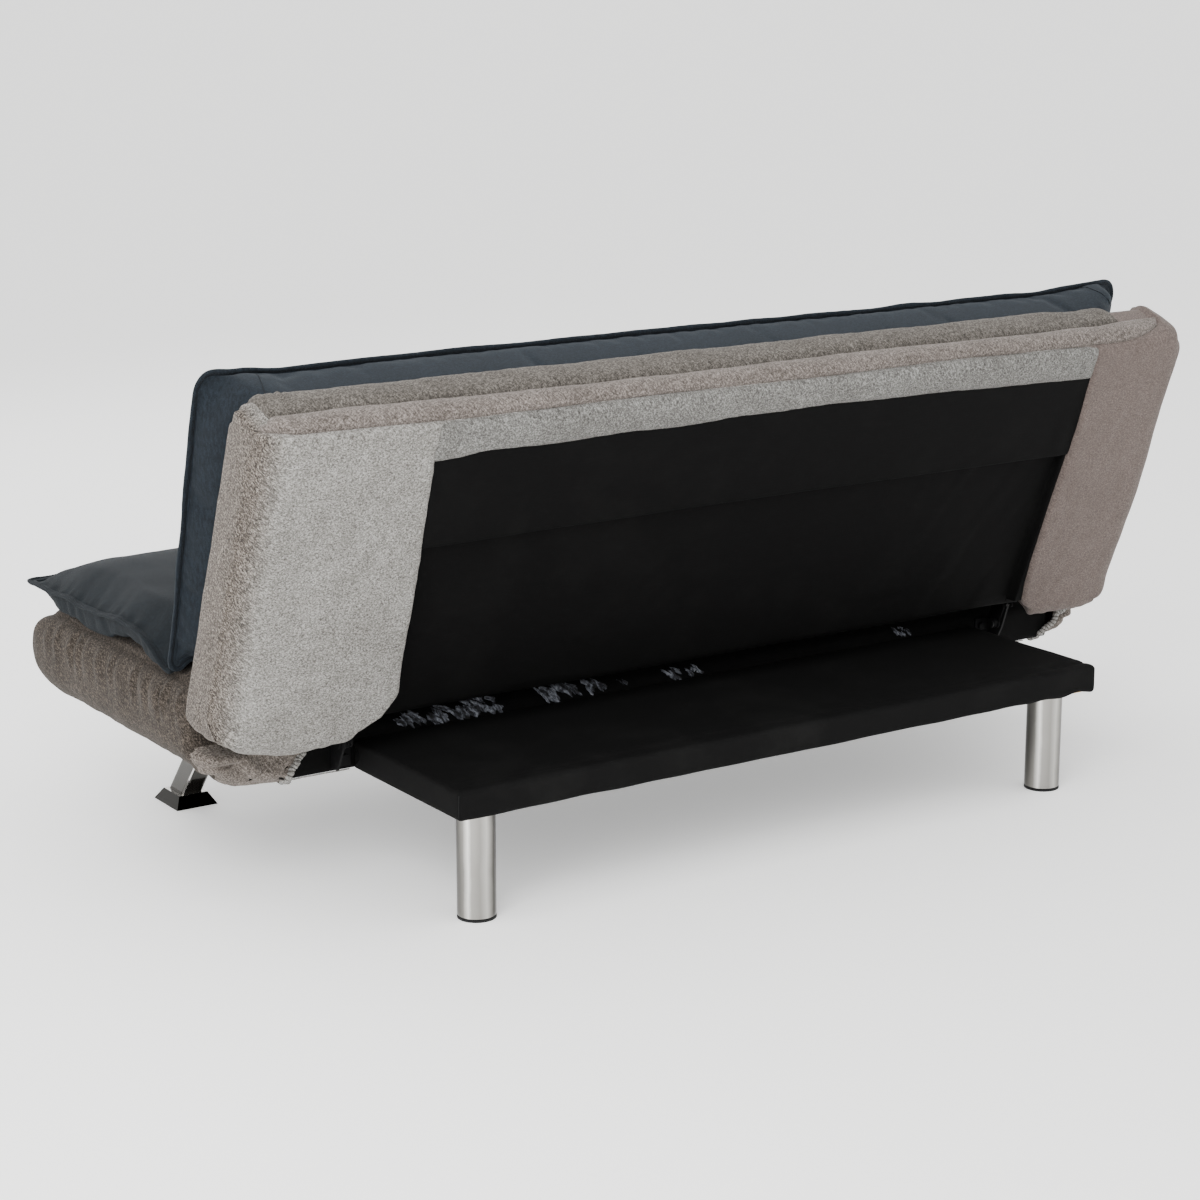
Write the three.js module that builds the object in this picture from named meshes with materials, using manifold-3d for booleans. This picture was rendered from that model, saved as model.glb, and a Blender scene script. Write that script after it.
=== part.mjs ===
// A three-seat click-clack futon sofa bed, in millimetres, +Z up.
// The origin is on the floor under the middle of the sofa. The seat faces -Y and the length runs along X.
// The backrest is drawn in its own group: the group's origin is the recline hinge, its +Z runs up the
// backrest and its +Y through the backrest's thickness to the rear.
import * as THREE from "three";
import { mergeVertices } from "three/addons/utils/BufferGeometryUtils.js";
import Module from "manifold-3d";

const wasm = await Module();
wasm.setup();

// ---- Overall size
const LENGTH = 1800; // the upholstery, end to end
const DEPTH = 950; // front of the seat pad to the rear of the platform
const HEIGHT = 828.5; // floor to the back pad's top edge
const BASE_Z = 174; // underside of the seat and of the rear platform
const SEAT_TOP_Z = 355; // top of the upholstered seat
const GAP = 0.3; // left between pieces that touch
const RECLINE_REST = THREE.MathUtils.degToRad(21.3); // the backrest's lean when upright

// ---- Places along the length, from the middle
const HALF = LENGTH / 2;
const FRAME_INSET = 40; // the long rails' ends, inside the upholstery
const HINGE_INSET = 195; // the hinges, inside the long rails' ends
const PLATFORM_INSET = 36; // the platform's ends, inside the hinges
const FRAME_HALF_X = HALF - FRAME_INSET;
const BRACKET_X = FRAME_HALF_X - HINGE_INSET; // the face between the two plates of a hinge
const PLATFORM_HALF_X = BRACKET_X - PLATFORM_INSET;

// ---- Seat upholstery
const SEAT_REAR_Y = 131; // rear of the padding
const SEAT_LEDGE_Y = 160; // the frame and the cover over it stand out to here
const SEAT_LEDGE_Z = 239.6; // up to this height
const SEAT_NOSE_Y = DEPTH / 2 + 1; // the seat's front corner line, ahead of the origin
const SEAT_NOSE_Z = 262; // and its height
const SEAT_UNDERCUT = 88; // how far the bottom edge lies behind the nose
const SEAT_TOP_SETBACK = 36; // how far the top edge lies behind the nose
const SEAT_UNDER_ROUND = 50;
const SEAT_NOSE_ROUND = 50;
const SEAT_TOP_ROUND = 70;
const SEAT_END_ROUND = 30;
const COVER_T = 4; // fabric with its wadding
const SEAT_WINDOW_X = HALF - 100; // the cover is open underneath and behind out to here
const SEAT_WINDOW_Y = DEPTH / 2 - 150; // and forward to here

// ---- Seat frame
const RAIL_W = 25; // thickness of the upright boards
const SEAT_RAIL_TOP_Z = SEAT_LEDGE_Z - 9.6;
const SEAT_FRAME_FRONT_Y = DEPTH / 2 - 120; // front of the front rail, ahead of the origin
const LEG_RAIL_X = BRACKET_X + 23; // centre line of the rails that carry the front legs
const LEG_RAIL_W = 45;
const FRAME_ROOM = 5; // between the frame and the foam beside it
const DUST_T = 3; // black non-woven lining under the seat, with its stapled hem
const LINING_T = 1.7; // the same lining, single, on the rear rail

// ---- Springs
const WIRE = 4;
const SPRING_PLACES = [1 / 6, 1 / 2, 5 / 6]; // springs either side of the middle, as shares of BRACKET_X
const SPRING_SWING = 22; // half width of a spring's waves
const SPRING_WAVE = 34; // length of half a wave
const SPRING_LAP = 14; // how far a spring's end lies on its rail
const SPRING_BEND = 0.2; // share of half a wave on each side that a bend takes
const SPRING_TIES = [0.33, 0.67]; // cross wires, as shares of the span

// ---- Rear platform
const PLATFORM_TOP_Z = BASE_Z + 45.5;
const PLATFORM_ROUND = 5;
const PLATFORM_END_ROUND = 3;
const WRAP_T = 2; // black non-woven wrap
const PLATFORM_RAIL_W = 70; // timbers laid flat
const BOARD_T = 6;

// ---- Rear legs
const REAR_LEG_D = 60;
const REAR_LEG_X = PLATFORM_HALF_X - 61;
const REAR_LEG_Y = DEPTH / 2 - 55;
const TUBE_T = 2;
const CAP_T = 4;
const CAP_PLUG_H = 12;
const PLATE_T = 2.7;
const STUD_D = 8;
const STUD_L = 30; // above the plate

// ---- Front legs
const FRONT_LEG_W = 38; // along X
const FRONT_LEG_DEPTH = 40; // square to the leg, in the plane that it leans in
const FRONT_LEG_ROUND = 6;
const FRONT_LEG_LEAN = THREE.MathUtils.degToRad(40);
const FRONT_FOOT_Y = DEPTH / 2 - 146; // foot centre, ahead of the origin
const FOOT_BASE_X = 75;
const FOOT_BASE_Y = 90;
const FOOT_TOP_X = 52;
const FOOT_TOP_Y = 60;
const FOOT_H = 20;
const LEG_PLATE_X = 70;
const LEG_PLATE_Y = 96;

// ---- Recline hinge
const HINGE_Y = 214;
const HINGE_Z = 290;
const RECLINE_STOPS = [0, 35, 68.7].map(THREE.MathUtils.degToRad); // sofa, lounge and bed
const BRACKET_T = 4;
const PIN_D = 12;
const PIN_HEAD_D = 22;
const PIN_HEAD_T = 3.5;
const HEAD_R = 27; // the round toothed head of the moving plate
const NOTCH_DEPTH = 6.5;
const NOTCH_MOUTH = 6.6; // half width at the rim
const NOTCH_FLOOR = 2.4; // half width at the bottom
const RIM_STEP = 0.25; // radians between points along the rim
const LOBE_R = 18; // the fixed plate around the pin
const FLANGE_W = 33; // the fixed plate's fastening flange
const FLANGE_BOTTOM_Z = BASE_Z + 8;
const FLANGE_TOP_Z = FLANGE_BOTTOM_Z + 50;
const BOLT_D = 8;
const BOLT_HEAD_D = 14;
const BOLT_HEAD_T = 5;
const SEAT_BOLT_Z = [13, 37].map((height) => FLANGE_BOTTOM_Z + height);
const SEAT_BOLT_IN = 17; // the bolts' distance from the fixed plate
const SEAT_BOLT_GRIP = 20; // length in the rear rail
const BACK_BOLT_Z = [72, 132]; // up the backrest
const BACK_BOLT_Y = 15;
const BACK_BOLT_GRIP = 18;
const BACK_ARM_FRONT = 2; // the moving plate's arm, ahead of the pin
const BACK_ARM_REAR = 32;
const BACK_ARM_TOP = 150;

// ---- Locking pawl
const PAWL_Y = HINGE_Y - 28;
const PAWL_Z = HINGE_Z - 62;
const PAWL_PIN_D = 10;
const PAWL_BOSS_R = 10;
const PAWL_ARM_W = 12;
const PAWL_TOOTH_L = 9.5;
const PAWL_TIP_W = 2.4;
const PAWL_TIP_CLEAR = 1.6; // tooth tip to the notch's floor
const COIL_R = 8.2;
const COIL_WIRE = 2;
const COIL_TURNS = 2.5;
const COIL_PITCH = 2.3;

// ---- Backrest upholstery, in the backrest's own frame
const BACK_FRONT = 65; // the hinge to the front face
const BACK_REAR = 54; // the hinge to the rear face
const BACK_BOTTOM = 31; // below the hinge
const BACK_PAD_SEAM_TOP = 200; // the back pad's edge seam ahead of the hinge, at the top
const BACK_PAD_TOP = (HEIGHT - HINGE_Z - BACK_PAD_SEAM_TOP * Math.sin(RECLINE_REST)) / Math.cos(RECLINE_REST);
const BACK_TOP = BACK_PAD_TOP + 40; // above the hinge
const BACK_TOP_FRONT_ROUND = 45;
const BACK_TOP_REAR_ROUND = 40;
const BACK_BOTTOM_ROUND = 26;
const BACK_END_ROUND = 22;
const WINDOW_HALF_X = PLATFORM_HALF_X + 3; // the cover's wraps end here on the rear face, at the top
const WINDOW_TOP = BACK_TOP - 80; // and its top band ends here
const WINDOW_TAPER = 20; // the wraps reach this much further in near the bottom
const WRAP_CORNER = 60; // cut off each wrap's lower inner corner

// ---- Backrest frame, in the backrest's own frame
const FRAME_T = 45; // depth of the frame, rearward from the hinge plane
const BACK_RAIL_TOP = BACK_TOP - 40;
const BACK_RAIL_BOTTOM = 40;
const LOWER_RAIL_T = 27;
const OUTRIGGER_TOP = 185;
const PANEL_T = 4;
const PANEL_BOTTOM = BACK_RAIL_TOP - 182;
const PANEL_HALF_X = BRACKET_X - 7;
const BACK_DUST_T = 2;
const BACK_DUST_BOTTOM = 10;
const BACK_DUST_TOP = PANEL_BOTTOM + 12;
const SPRING_ROOM = 5; // front of the frame to the foam

// ---- Room for the hinges in the backrest's foam and cover
const HINGE_ROOM_IN = BRACKET_X - 15;
const HINGE_ROOM_OUT = BRACKET_X + 13;
const HINGE_ROOM_FRONT = 50;
const HINGE_ROOM_TOP = 46;

// ---- Pads
const PAD_SEAM_Z = 386; // the seat pad's edge seam, at the front
const PAD_REAR_SEAM_Z = 372;
const PAD_CROWN_Z = 440;
const PAD_REAR_Y = 70;
const SEAT_PAD_OUTLINE = [
  // share of the way from the rear to the front, share of the way from the seat to the crown
  [0.037, 0],
  [0, 0.142],
  [0.007, 0.354],
  [0.092, 0.906],
  [0.239, 1],
  [0.624, 1],
  [0.826, 0.787],
  [0.96, 0.457],
  [1, 0.398],
  [1, 0.315],
  [0.954, 0.244],
  [0.807, 0.059],
  [0.734, 0],
];
const BACK_PAD_CROWN = 236; // its fullest point ahead of the hinge
const BACK_PAD_BOTTOM = 20; // above the hinge
const BACK_PAD_SEAM_BOTTOM = 150; // its edge seam ahead of the hinge, at the bottom
const BACK_PAD_OUTLINE = [
  // share of the way from the backrest to the crown, share of the way from the bottom to the top
  [0, 0.992],
  [0.293, 1.01],
  [0.719, 1],
  [0.789, 1],
  [0.871, 0.954],
  [0.953, 0.812],
  [1, 0.583],
  [0.953, 0.371],
  [0.789, 0.183],
  [0.578, 0.042],
  [0.496, 0],
  [0.32, 0.017],
  [0, 0.058],
];
const PAD_ENDS = [
  // distance in from the end, and the share of the full thickness there
  [0, 0.12],
  [14, 0.26],
  [30, 0.5],
  [60, 0.78],
  [130, 1],
];
const PAD_CHANNEL_X = LENGTH / 6; // sewn channels divide each pad into three
const PAD_CHANNEL = [
  // distance from the channel, and the share of the crown there
  [6, 0.4],
  [22, 0.76],
  [52, 1],
];

// ---- Materials
function material(color, roughness, metalness) {
  return new THREE.MeshStandardMaterial({ color, roughness, metalness });
}

const GREY_FABRIC = material(0x8c857e, 0.95, 0);
const BLUE_FABRIC = material(0x3f4a54, 0.9, 0);
const BLACK_LINING = material(0x17171a, 0.95, 0);
const CHROME = material(0xd6d6d4, 0.08, 1);
const STEEL = material(0x8e9194, 0.4, 1);
const TIMBER = material(0xc9a877, 0.8, 0);
const FOAM = material(0xe7dfc4, 1, 0);
const PLASTIC = material(0x151515, 0.6, 0);

// ---- Solids
function solid(geometry) {
  const bare = geometry.clone();
  bare.deleteAttribute("normal");
  bare.deleteAttribute("uv");
  const merged = mergeVertices(bare, 1e-3);
  const mesh = new wasm.Mesh({
    numProp: 3,
    vertProperties: new Float32Array(merged.attributes.position.array),
    triVerts: new Uint32Array(merged.index.array),
  });
  return new wasm.Manifold(mesh);
}

function geometryOf(made) {
  const mesh = made.getMesh();
  const geometry = new THREE.BufferGeometry();
  geometry.setAttribute("position", new THREE.BufferAttribute(new Float32Array(mesh.vertProperties), 3));
  geometry.setIndex(new THREE.BufferAttribute(new Uint32Array(mesh.triVerts), 1));
  geometry.computeVertexNormals();
  return geometry;
}

function cut(geometry, ...tools) {
  return geometryOf(tools.reduce((made, tool) => made.subtract(solid(tool)), solid(geometry)));
}

function join(first, ...others) {
  return geometryOf(others.reduce((made, other) => made.add(solid(other)), solid(first)));
}

// A box between two X, two Y and two Z values, given in either order.
function box(x, y, z) {
  const span = (pair) => Math.abs(pair[1] - pair[0]);
  const middle = (pair) => (pair[0] + pair[1]) / 2;
  return new THREE.BoxGeometry(span(x), span(y), span(z)).translate(middle(x), middle(y), middle(z));
}

// A round bar between two places along an axis.
function bar(axis, diameter, span, centre, sides = 16) {
  const length = Math.abs(span[1] - span[0]);
  const geometry = new THREE.CylinderGeometry(diameter / 2, diameter / 2, length, sides);
  if (axis === "x") geometry.rotateZ(-Math.PI / 2);
  if (axis === "z") geometry.rotateX(Math.PI / 2);
  const along = (span[0] + span[1]) / 2;
  const [a, b] = centre;
  const place = { x: [along, a, b], y: [a, along, b], z: [a, b, along] }[axis];
  return geometry.translate(...place);
}

// An outline's corners are [y, z, radius]. Moves each edge inward by a distance.
function inset(corners, distance) {
  const turn = Math.sign(signedArea(corners));
  return corners.map((corner, i) => {
    const before = corners[(i + corners.length - 1) % corners.length];
    const after = corners[(i + 1) % corners.length];
    const a = new THREE.Vector2(corner[0] - before[0], corner[1] - before[1]).normalize();
    const b = new THREE.Vector2(after[0] - corner[0], after[1] - corner[1]).normalize();
    const inA = new THREE.Vector2(-a.y, a.x).multiplyScalar(turn);
    const inB = new THREE.Vector2(-b.y, b.x).multiplyScalar(turn);
    const share = distance / (1 + inA.dot(inB));
    const round = corner[2] ? Math.max(corner[2] - distance, 1) : 0;
    return [corner[0] + (inA.x + inB.x) * share, corner[1] + (inA.y + inB.y) * share, round];
  });
}

function signedArea(corners) {
  return corners.reduce((sum, [y, z], i) => {
    const [nextY, nextZ] = corners[(i + 1) % corners.length];
    return sum + (y * nextZ - nextY * z) / 2;
  }, 0);
}

// The outline as a shape, with each corner rounded by its radius.
function roundedShape(corners, steps = 5) {
  const points = [];
  corners.forEach(([y, z, radius], i) => {
    const corner = new THREE.Vector2(y, z);
    if (!radius) {
      points.push(corner);
      return;
    }
    const before = corners[(i + corners.length - 1) % corners.length];
    const after = corners[(i + 1) % corners.length];
    const back = new THREE.Vector2(before[0] - y, before[1] - z).normalize();
    const on = new THREE.Vector2(after[0] - y, after[1] - z).normalize();
    const half = Math.acos(THREE.MathUtils.clamp(back.dot(on), -1, 1)) / 2;
    const bisector = back.clone().add(on).normalize();
    const centre = corner.clone().addScaledVector(bisector, radius / Math.sin(half));
    const first = corner.clone().addScaledVector(back, radius / Math.tan(half)).sub(centre);
    const last = corner.clone().addScaledVector(on, radius / Math.tan(half)).sub(centre);
    const sweep = Math.atan2(first.cross(last), first.dot(last));
    for (let k = 0; k <= steps; k++) {
      points.push(first.clone().rotateAround(new THREE.Vector2(), (sweep * k) / steps).add(centre));
    }
  });
  return new THREE.Shape(points);
}

// A solid with an outline in X and Z, between two Y values. Its corners are [x, z].
function slab(corners, y) {
  const shape = new THREE.Shape(corners.map(([x, z]) => new THREE.Vector2(x, -z)));
  const depth = Math.abs(y[1] - y[0]);
  const geometry = new THREE.ExtrudeGeometry(shape, { depth, bevelEnabled: false });
  return geometry.rotateX(-Math.PI / 2).translate(0, Math.min(...y), 0);
}

// Stands a shape drawn in Y and Z between two X values.
function prism(shape, x) {
  const depth = Math.abs(x[1] - x[0]);
  const geometry = new THREE.ExtrudeGeometry(shape, { depth, bevelEnabled: false, curveSegments: 24 });
  return alongX(geometry, Math.min(...x));
}

function alongX(geometry, start) {
  const axes = new THREE.Matrix4().makeBasis(
    new THREE.Vector3(0, 1, 0),
    new THREE.Vector3(0, 0, 1),
    new THREE.Vector3(1, 0, 0),
  );
  return geometry.applyMatrix4(axes).translate(start, 0, 0);
}

// A long body with an outline in Y and Z and rounded or tapered ends, centred on X = 0.
function longBody(corners, halfLength, endRound, endTaper = endRound, segments = 3) {
  const depth = 2 * (halfLength - endTaper);
  const geometry = new THREE.ExtrudeGeometry(roundedShape(corners), {
    depth,
    bevelThickness: endTaper,
    bevelSize: endRound,
    bevelOffset: -endRound,
    bevelSegments: segments,
  });
  return alongX(geometry, -depth / 2);
}

// The body's outline and ends, moved inward by a distance.
const skinInside = (corners, halfLength, endRound, distance) =>
  longBody(inset(corners, distance), halfLength - distance, endRound - distance);

// A closed body through matching outlines at rising X values: a list of [x, outline].
function lofted(sections) {
  const rings = sections.map(([x, corners]) => corners.map(([y, z]) => [x, y, z]));
  const round = rings[0].length;
  const index = [];
  for (let i = 0; i + 1 < rings.length; i++) {
    for (let k = 0; k < round; k++) {
      const a = i * round + k;
      const b = i * round + ((k + 1) % round);
      index.push(a, b, b + round, a, b + round, a + round);
    }
  }
  const fill = (corners) => {
    const flat = corners.map(([y, z]) => new THREE.Vector2(y, z));
    return THREE.ShapeUtils.triangulateShape(flat, []);
  };
  const last = (rings.length - 1) * round;
  for (const [a, b, c] of fill(sections[0][1])) index.push(a, c, b);
  for (const [a, b, c] of fill(sections.at(-1)[1])) index.push(last + a, last + b, last + c);
  const geometry = new THREE.BufferGeometry();
  geometry.setAttribute("position", new THREE.Float32BufferAttribute(rings.flat(2), 3));
  geometry.setIndex(index);
  return geometry;
}

// A pad as long as the sofa, drawn in to its edge seam at both ends, with its crown sewn down at two channels.
// The outline runs anticlockwise. Each section is its place, the share of the base and the share of the crown.
function pad(corners, toSeam) {
  const half = [
    ...[...PAD_CHANNEL].reverse().map(([off, share]) => [PAD_CHANNEL_X - off, 1, share]),
    ...PAD_CHANNEL.map(([off, share]) => [PAD_CHANNEL_X + off, 1, share]),
    ...[...PAD_ENDS].reverse().map(([inward, share]) => [HALF - inward, share, share]),
  ];
  const otherHalf = [...half].reverse().map(([x, base, crown]) => [-x, base, crown]);
  const sections = [...otherHalf, ...half];
  return lofted(sections.map(([x, base, crown]) => [x, corners.map((corner) => toSeam(corner, base, crown))]));
}

// A turned piece with an axis along X, from [radius, x] steps.
function turned(steps, centre, sides = 20) {
  const profile = steps.map(([radius, x]) => new THREE.Vector2(radius, x));
  const geometry = new THREE.LatheGeometry(profile, sides).rotateZ(-Math.PI / 2);
  return geometry.translate(0, ...centre);
}

const futon = new THREE.Group();
const backrest = new THREE.Group();
backrest.position.set(0, HINGE_Y, HINGE_Z);
backrest.rotation.x = -RECLINE_REST;
futon.add(backrest);

function add(name, geometry, finish, group = futon) {
  const mesh = new THREE.Mesh(geometry, finish);
  mesh.name = name;
  group.add(mesh);
  return mesh;
}

const SIDES = [
  ["left", -1],
  ["right", 1],
];
const FAR = 2000; // beyond every face of the sofa, for cuts that run out of it

// ---- Seat

const railBottomZ = BASE_Z + COVER_T + GAP;
const seatFrameFrontY = -SEAT_FRAME_FRONT_Y;
const rearRailRearY = SEAT_LEDGE_Y - COVER_T - GAP;
const rearRailFrontY = rearRailRearY - RAIL_W;
const seatSpringZ = SEAT_RAIL_TOP_Z + GAP;
const liningRearY = rearRailRearY + GAP + LINING_T;
const seatCorners = [
  [SEAT_LEDGE_Y, BASE_Z, 0],
  [SEAT_LEDGE_Y, SEAT_LEDGE_Z, 0],
  [SEAT_REAR_Y, SEAT_LEDGE_Z, 0],
  [SEAT_REAR_Y, SEAT_TOP_Z, 0],
  [-SEAT_NOSE_Y + SEAT_TOP_SETBACK, SEAT_TOP_Z, SEAT_TOP_ROUND],
  [-SEAT_NOSE_Y, SEAT_NOSE_Z, SEAT_NOSE_ROUND],
  [-SEAT_NOSE_Y + SEAT_UNDERCUT, BASE_Z, SEAT_UNDER_ROUND],
];

// The front leg meets the seat here.
const footTopZ = FOOT_H + GAP;
const legPlateTopZ = BASE_Z + COVER_T - DUST_T - GAP;
const legTopZ = legPlateTopZ - PLATE_T - GAP;
const legTopY = -FRONT_FOOT_Y + Math.tan(FRONT_LEG_LEAN) * (legTopZ - footTopZ);

function stud(x, y, bottomZ, extra = 0) {
  return bar("z", STUD_D + extra, [bottomZ, bottomZ + STUD_L + extra], [x, y], 12);
}

const frontStuds = (extra) => SIDES.map(([, side]) => stud(side * LEG_RAIL_X, legTopY, legPlateTopZ, extra));
const seatBoltX = (side) => side * (BRACKET_X - SEAT_BOLT_IN);
const seatBoltTipY = rearRailRearY - SEAT_BOLT_GRIP;
const flangeRearY = liningRearY + GAP + BRACKET_T;

function seatBoltShank(side, z, extra = 0) {
  return bar("y", BOLT_D + extra, [seatBoltTipY - extra, flangeRearY + 1], [seatBoltX(side), z], 12);
}

function seatBoltShanks(extra) {
  return SIDES.flatMap(([, side]) => SEAT_BOLT_Z.map((z) => seatBoltShank(side, z, extra)));
}

function seatFrame() {
  const z = [railBottomZ, SEAT_RAIL_TOP_Z];
  const long = [-FRAME_HALF_X, FRAME_HALF_X];
  const between = [seatFrameFrontY + RAIL_W + GAP, rearRailFrontY - GAP];
  const rearRail = box(long, [rearRailFrontY, rearRailRearY], z);
  add("seat_front_rail", box(long, [seatFrameFrontY, seatFrameFrontY + RAIL_W], z), TIMBER);
  add("seat_rear_rail", cut(rearRail, ...seatBoltShanks(2 * GAP)), TIMBER);
  add("seat_centre_rail", box([-RAIL_W / 2, RAIL_W / 2], between, z), TIMBER);
  for (const [name, side] of SIDES) {
    const middle = side * LEG_RAIL_X;
    const rail = box([middle - LEG_RAIL_W / 2, middle + LEG_RAIL_W / 2], between, z);
    add(`seat_${name}_rail`, cut(rail, ...frontStuds(2 * GAP)), TIMBER);
  }
}

// A flat ribbon of wire along a list of points, drawn as an outline.
function ribbon(points) {
  const normals = points.map((point, i) => {
    const before = points[Math.max(i - 1, 0)];
    const after = points[Math.min(i + 1, points.length - 1)];
    const a = point.clone().sub(before).normalize();
    const b = after.clone().sub(point).normalize();
    if (i === 0) return new THREE.Vector2(-b.y, b.x).multiplyScalar(WIRE / 2);
    if (i === points.length - 1) return new THREE.Vector2(-a.y, a.x).multiplyScalar(WIRE / 2);
    const along = a.add(b).normalize();
    const across = new THREE.Vector2(-along.y, along.x);
    return across.multiplyScalar(WIRE / 2 / across.dot(new THREE.Vector2(-b.y, b.x)));
  });
  const left = points.map((point, i) => point.clone().add(normals[i]));
  const right = points.map((point, i) => point.clone().sub(normals[i])).reverse();
  return new THREE.Shape([...left, ...right]);
}

// Sinuous springs side by side, tied by cross wires: drawn in X and Y from start to end, WIRE thick.
function springDeck(start, end) {
  const span = end - start;
  const waves = Math.round((span - 2 * SPRING_LAP) / SPRING_WAVE);
  const step = (span - 2 * SPRING_LAP) / waves;
  const places = SPRING_PLACES.map((share) => BRACKET_X * share);
  const pieces = places.flatMap((x) => [-x, x]).map((x) => {
    const points = [new THREE.Vector2(x, start)];
    for (let k = 0; k < waves; k++) {
      const swing = (k % 2 ? -1 : 1) * SPRING_SWING;
      const from = start + SPRING_LAP + k * step;
      points.push(new THREE.Vector2(x + swing, from + step * SPRING_BEND));
      points.push(new THREE.Vector2(x + swing, from + step * (1 - SPRING_BEND)));
    }
    points.push(new THREE.Vector2(x, end));
    return ribbon(points);
  });
  const reach = Math.max(...places) + SPRING_SWING;
  const ties = SPRING_TIES.map((share) => {
    const y = start + SPRING_LAP + (Math.round(waves * share) + 0.5) * step;
    return ribbon([new THREE.Vector2(-reach, y), new THREE.Vector2(reach, y)]);
  });
  const flat = { depth: WIRE, bevelEnabled: false };
  return join(...[...pieces, ...ties].map((shape) => new THREE.ExtrudeGeometry(shape, flat)));
}

function seat() {
  seatFrame();
  const springs = springDeck(seatFrameFrontY + RAIL_W - SPRING_LAP, rearRailFrontY + SPRING_LAP);
  add("seat_spring_deck", springs.translate(0, 0, seatSpringZ), STEEL);

  const skin = longBody(seatCorners, HALF, SEAT_END_ROUND);
  const inside = skinInside(seatCorners, HALF, SEAT_END_ROUND, COVER_T);
  const opening = [-SEAT_WINDOW_X, SEAT_WINDOW_X];
  const rearZ = SEAT_LEDGE_Z - COVER_T;
  const under = box(opening, [-SEAT_WINDOW_Y, FAR], [0, BASE_Z + COVER_T + 1]);
  const behind = box(opening, [SEAT_LEDGE_Y - COVER_T - 1, FAR], [0, rearZ]);
  add("seat_cover", cut(skin, inside, under, behind), GREY_FABRIC);

  const foam = skinInside(seatCorners, HALF, SEAT_END_ROUND, COVER_T + GAP);
  const room = FRAME_HALF_X + FRAME_ROOM;
  const frameRoom = box([-room, room], [seatFrameFrontY - FRAME_ROOM, FAR], [0, seatSpringZ + WIRE + GAP]);
  add("seat_foam", cut(foam, frameRoom), FOAM);

  const half = SEAT_WINDOW_X - GAP;
  const lining = [
    [-SEAT_WINDOW_Y + GAP, legPlateTopZ + GAP, 0],
    [liningRearY, legPlateTopZ + GAP, 0],
    [liningRearY, SEAT_RAIL_TOP_Z, 0],
    [rearRailRearY + GAP, SEAT_RAIL_TOP_Z, 0],
    [rearRailRearY + GAP, legPlateTopZ + GAP + DUST_T, 0],
    [-SEAT_WINDOW_Y + GAP, legPlateTopZ + GAP + DUST_T, 0],
  ];
  const sheet = prism(roundedShape(lining), [-half, half]);
  add("seat_dust_cover", cut(sheet, ...frontStuds(2 * GAP), ...seatBoltShanks(2 * GAP)), BLACK_LINING);

  const outline = SEAT_PAD_OUTLINE.map(([forward, up]) => [
    THREE.MathUtils.lerp(PAD_REAR_Y, -DEPTH / 2, forward),
    THREE.MathUtils.lerp(SEAT_TOP_Z + GAP, PAD_CROWN_Z, up),
  ]);
  const drawnIn = ([y, z], base, crown) => {
    const seamZ = THREE.MathUtils.mapLinear(y, -DEPTH / 2, PAD_REAR_Y, PAD_SEAM_Z, PAD_REAR_SEAM_Z);
    return [y, seamZ + (z - seamZ) * (z > seamZ ? crown : base)];
  };
  add("seat_pad", pad(outline, drawnIn), BLUE_FABRIC);
}

// ---- Rear platform

const platformFrontY = liningRearY + GAP;
const platformRearY = DEPTH / 2;
const platformInsideZ = BASE_Z + WRAP_T + GAP;
const rearPlateTopZ = BASE_Z - GAP;

function rearStuds(extra) {
  return SIDES.map(([, side]) => stud(side * REAR_LEG_X, REAR_LEG_Y, rearPlateTopZ, extra));
}

function platform() {
  const corners = [
    [platformFrontY, BASE_Z, 0],
    [platformRearY, BASE_Z, PLATFORM_ROUND],
    [platformRearY, PLATFORM_TOP_Z, PLATFORM_ROUND],
    [platformFrontY, PLATFORM_TOP_Z, 0],
  ];
  const skin = longBody(corners, PLATFORM_HALF_X, PLATFORM_END_ROUND, PLATFORM_END_ROUND, 2);
  const insideX = PLATFORM_HALF_X - WRAP_T;
  const insideZ = [BASE_Z + WRAP_T, PLATFORM_TOP_Z - WRAP_T];
  const hollow = box([-insideX, insideX], [0, platformRearY - WRAP_T], insideZ);
  add("platform_cover", cut(skin, hollow, ...rearStuds(2 * GAP)), BLACK_LINING);

  const boardTopZ = PLATFORM_TOP_Z - WRAP_T - GAP;
  const rearY = platformRearY - WRAP_T - GAP;
  const sideX = insideX - GAP;
  const timberZ = [platformInsideZ, boardTopZ - BOARD_T - GAP];
  const board = box([-sideX, sideX], [platformFrontY, rearY], [boardTopZ - BOARD_T, boardTopZ]);
  add("platform_board", board, TIMBER);
  for (const [name, side] of SIDES) {
    const rail = box([side * (sideX - PLATFORM_RAIL_W), side * sideX], [platformFrontY, rearY], timberZ);
    add(`platform_${name}_rail`, cut(rail, ...rearStuds(2 * GAP)), TIMBER);
  }
  const between = sideX - PLATFORM_RAIL_W - GAP;
  add("platform_rear_rail", box([-between, between], [rearY - PLATFORM_RAIL_W, rearY], timberZ), TIMBER);
}

// ---- Legs

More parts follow.
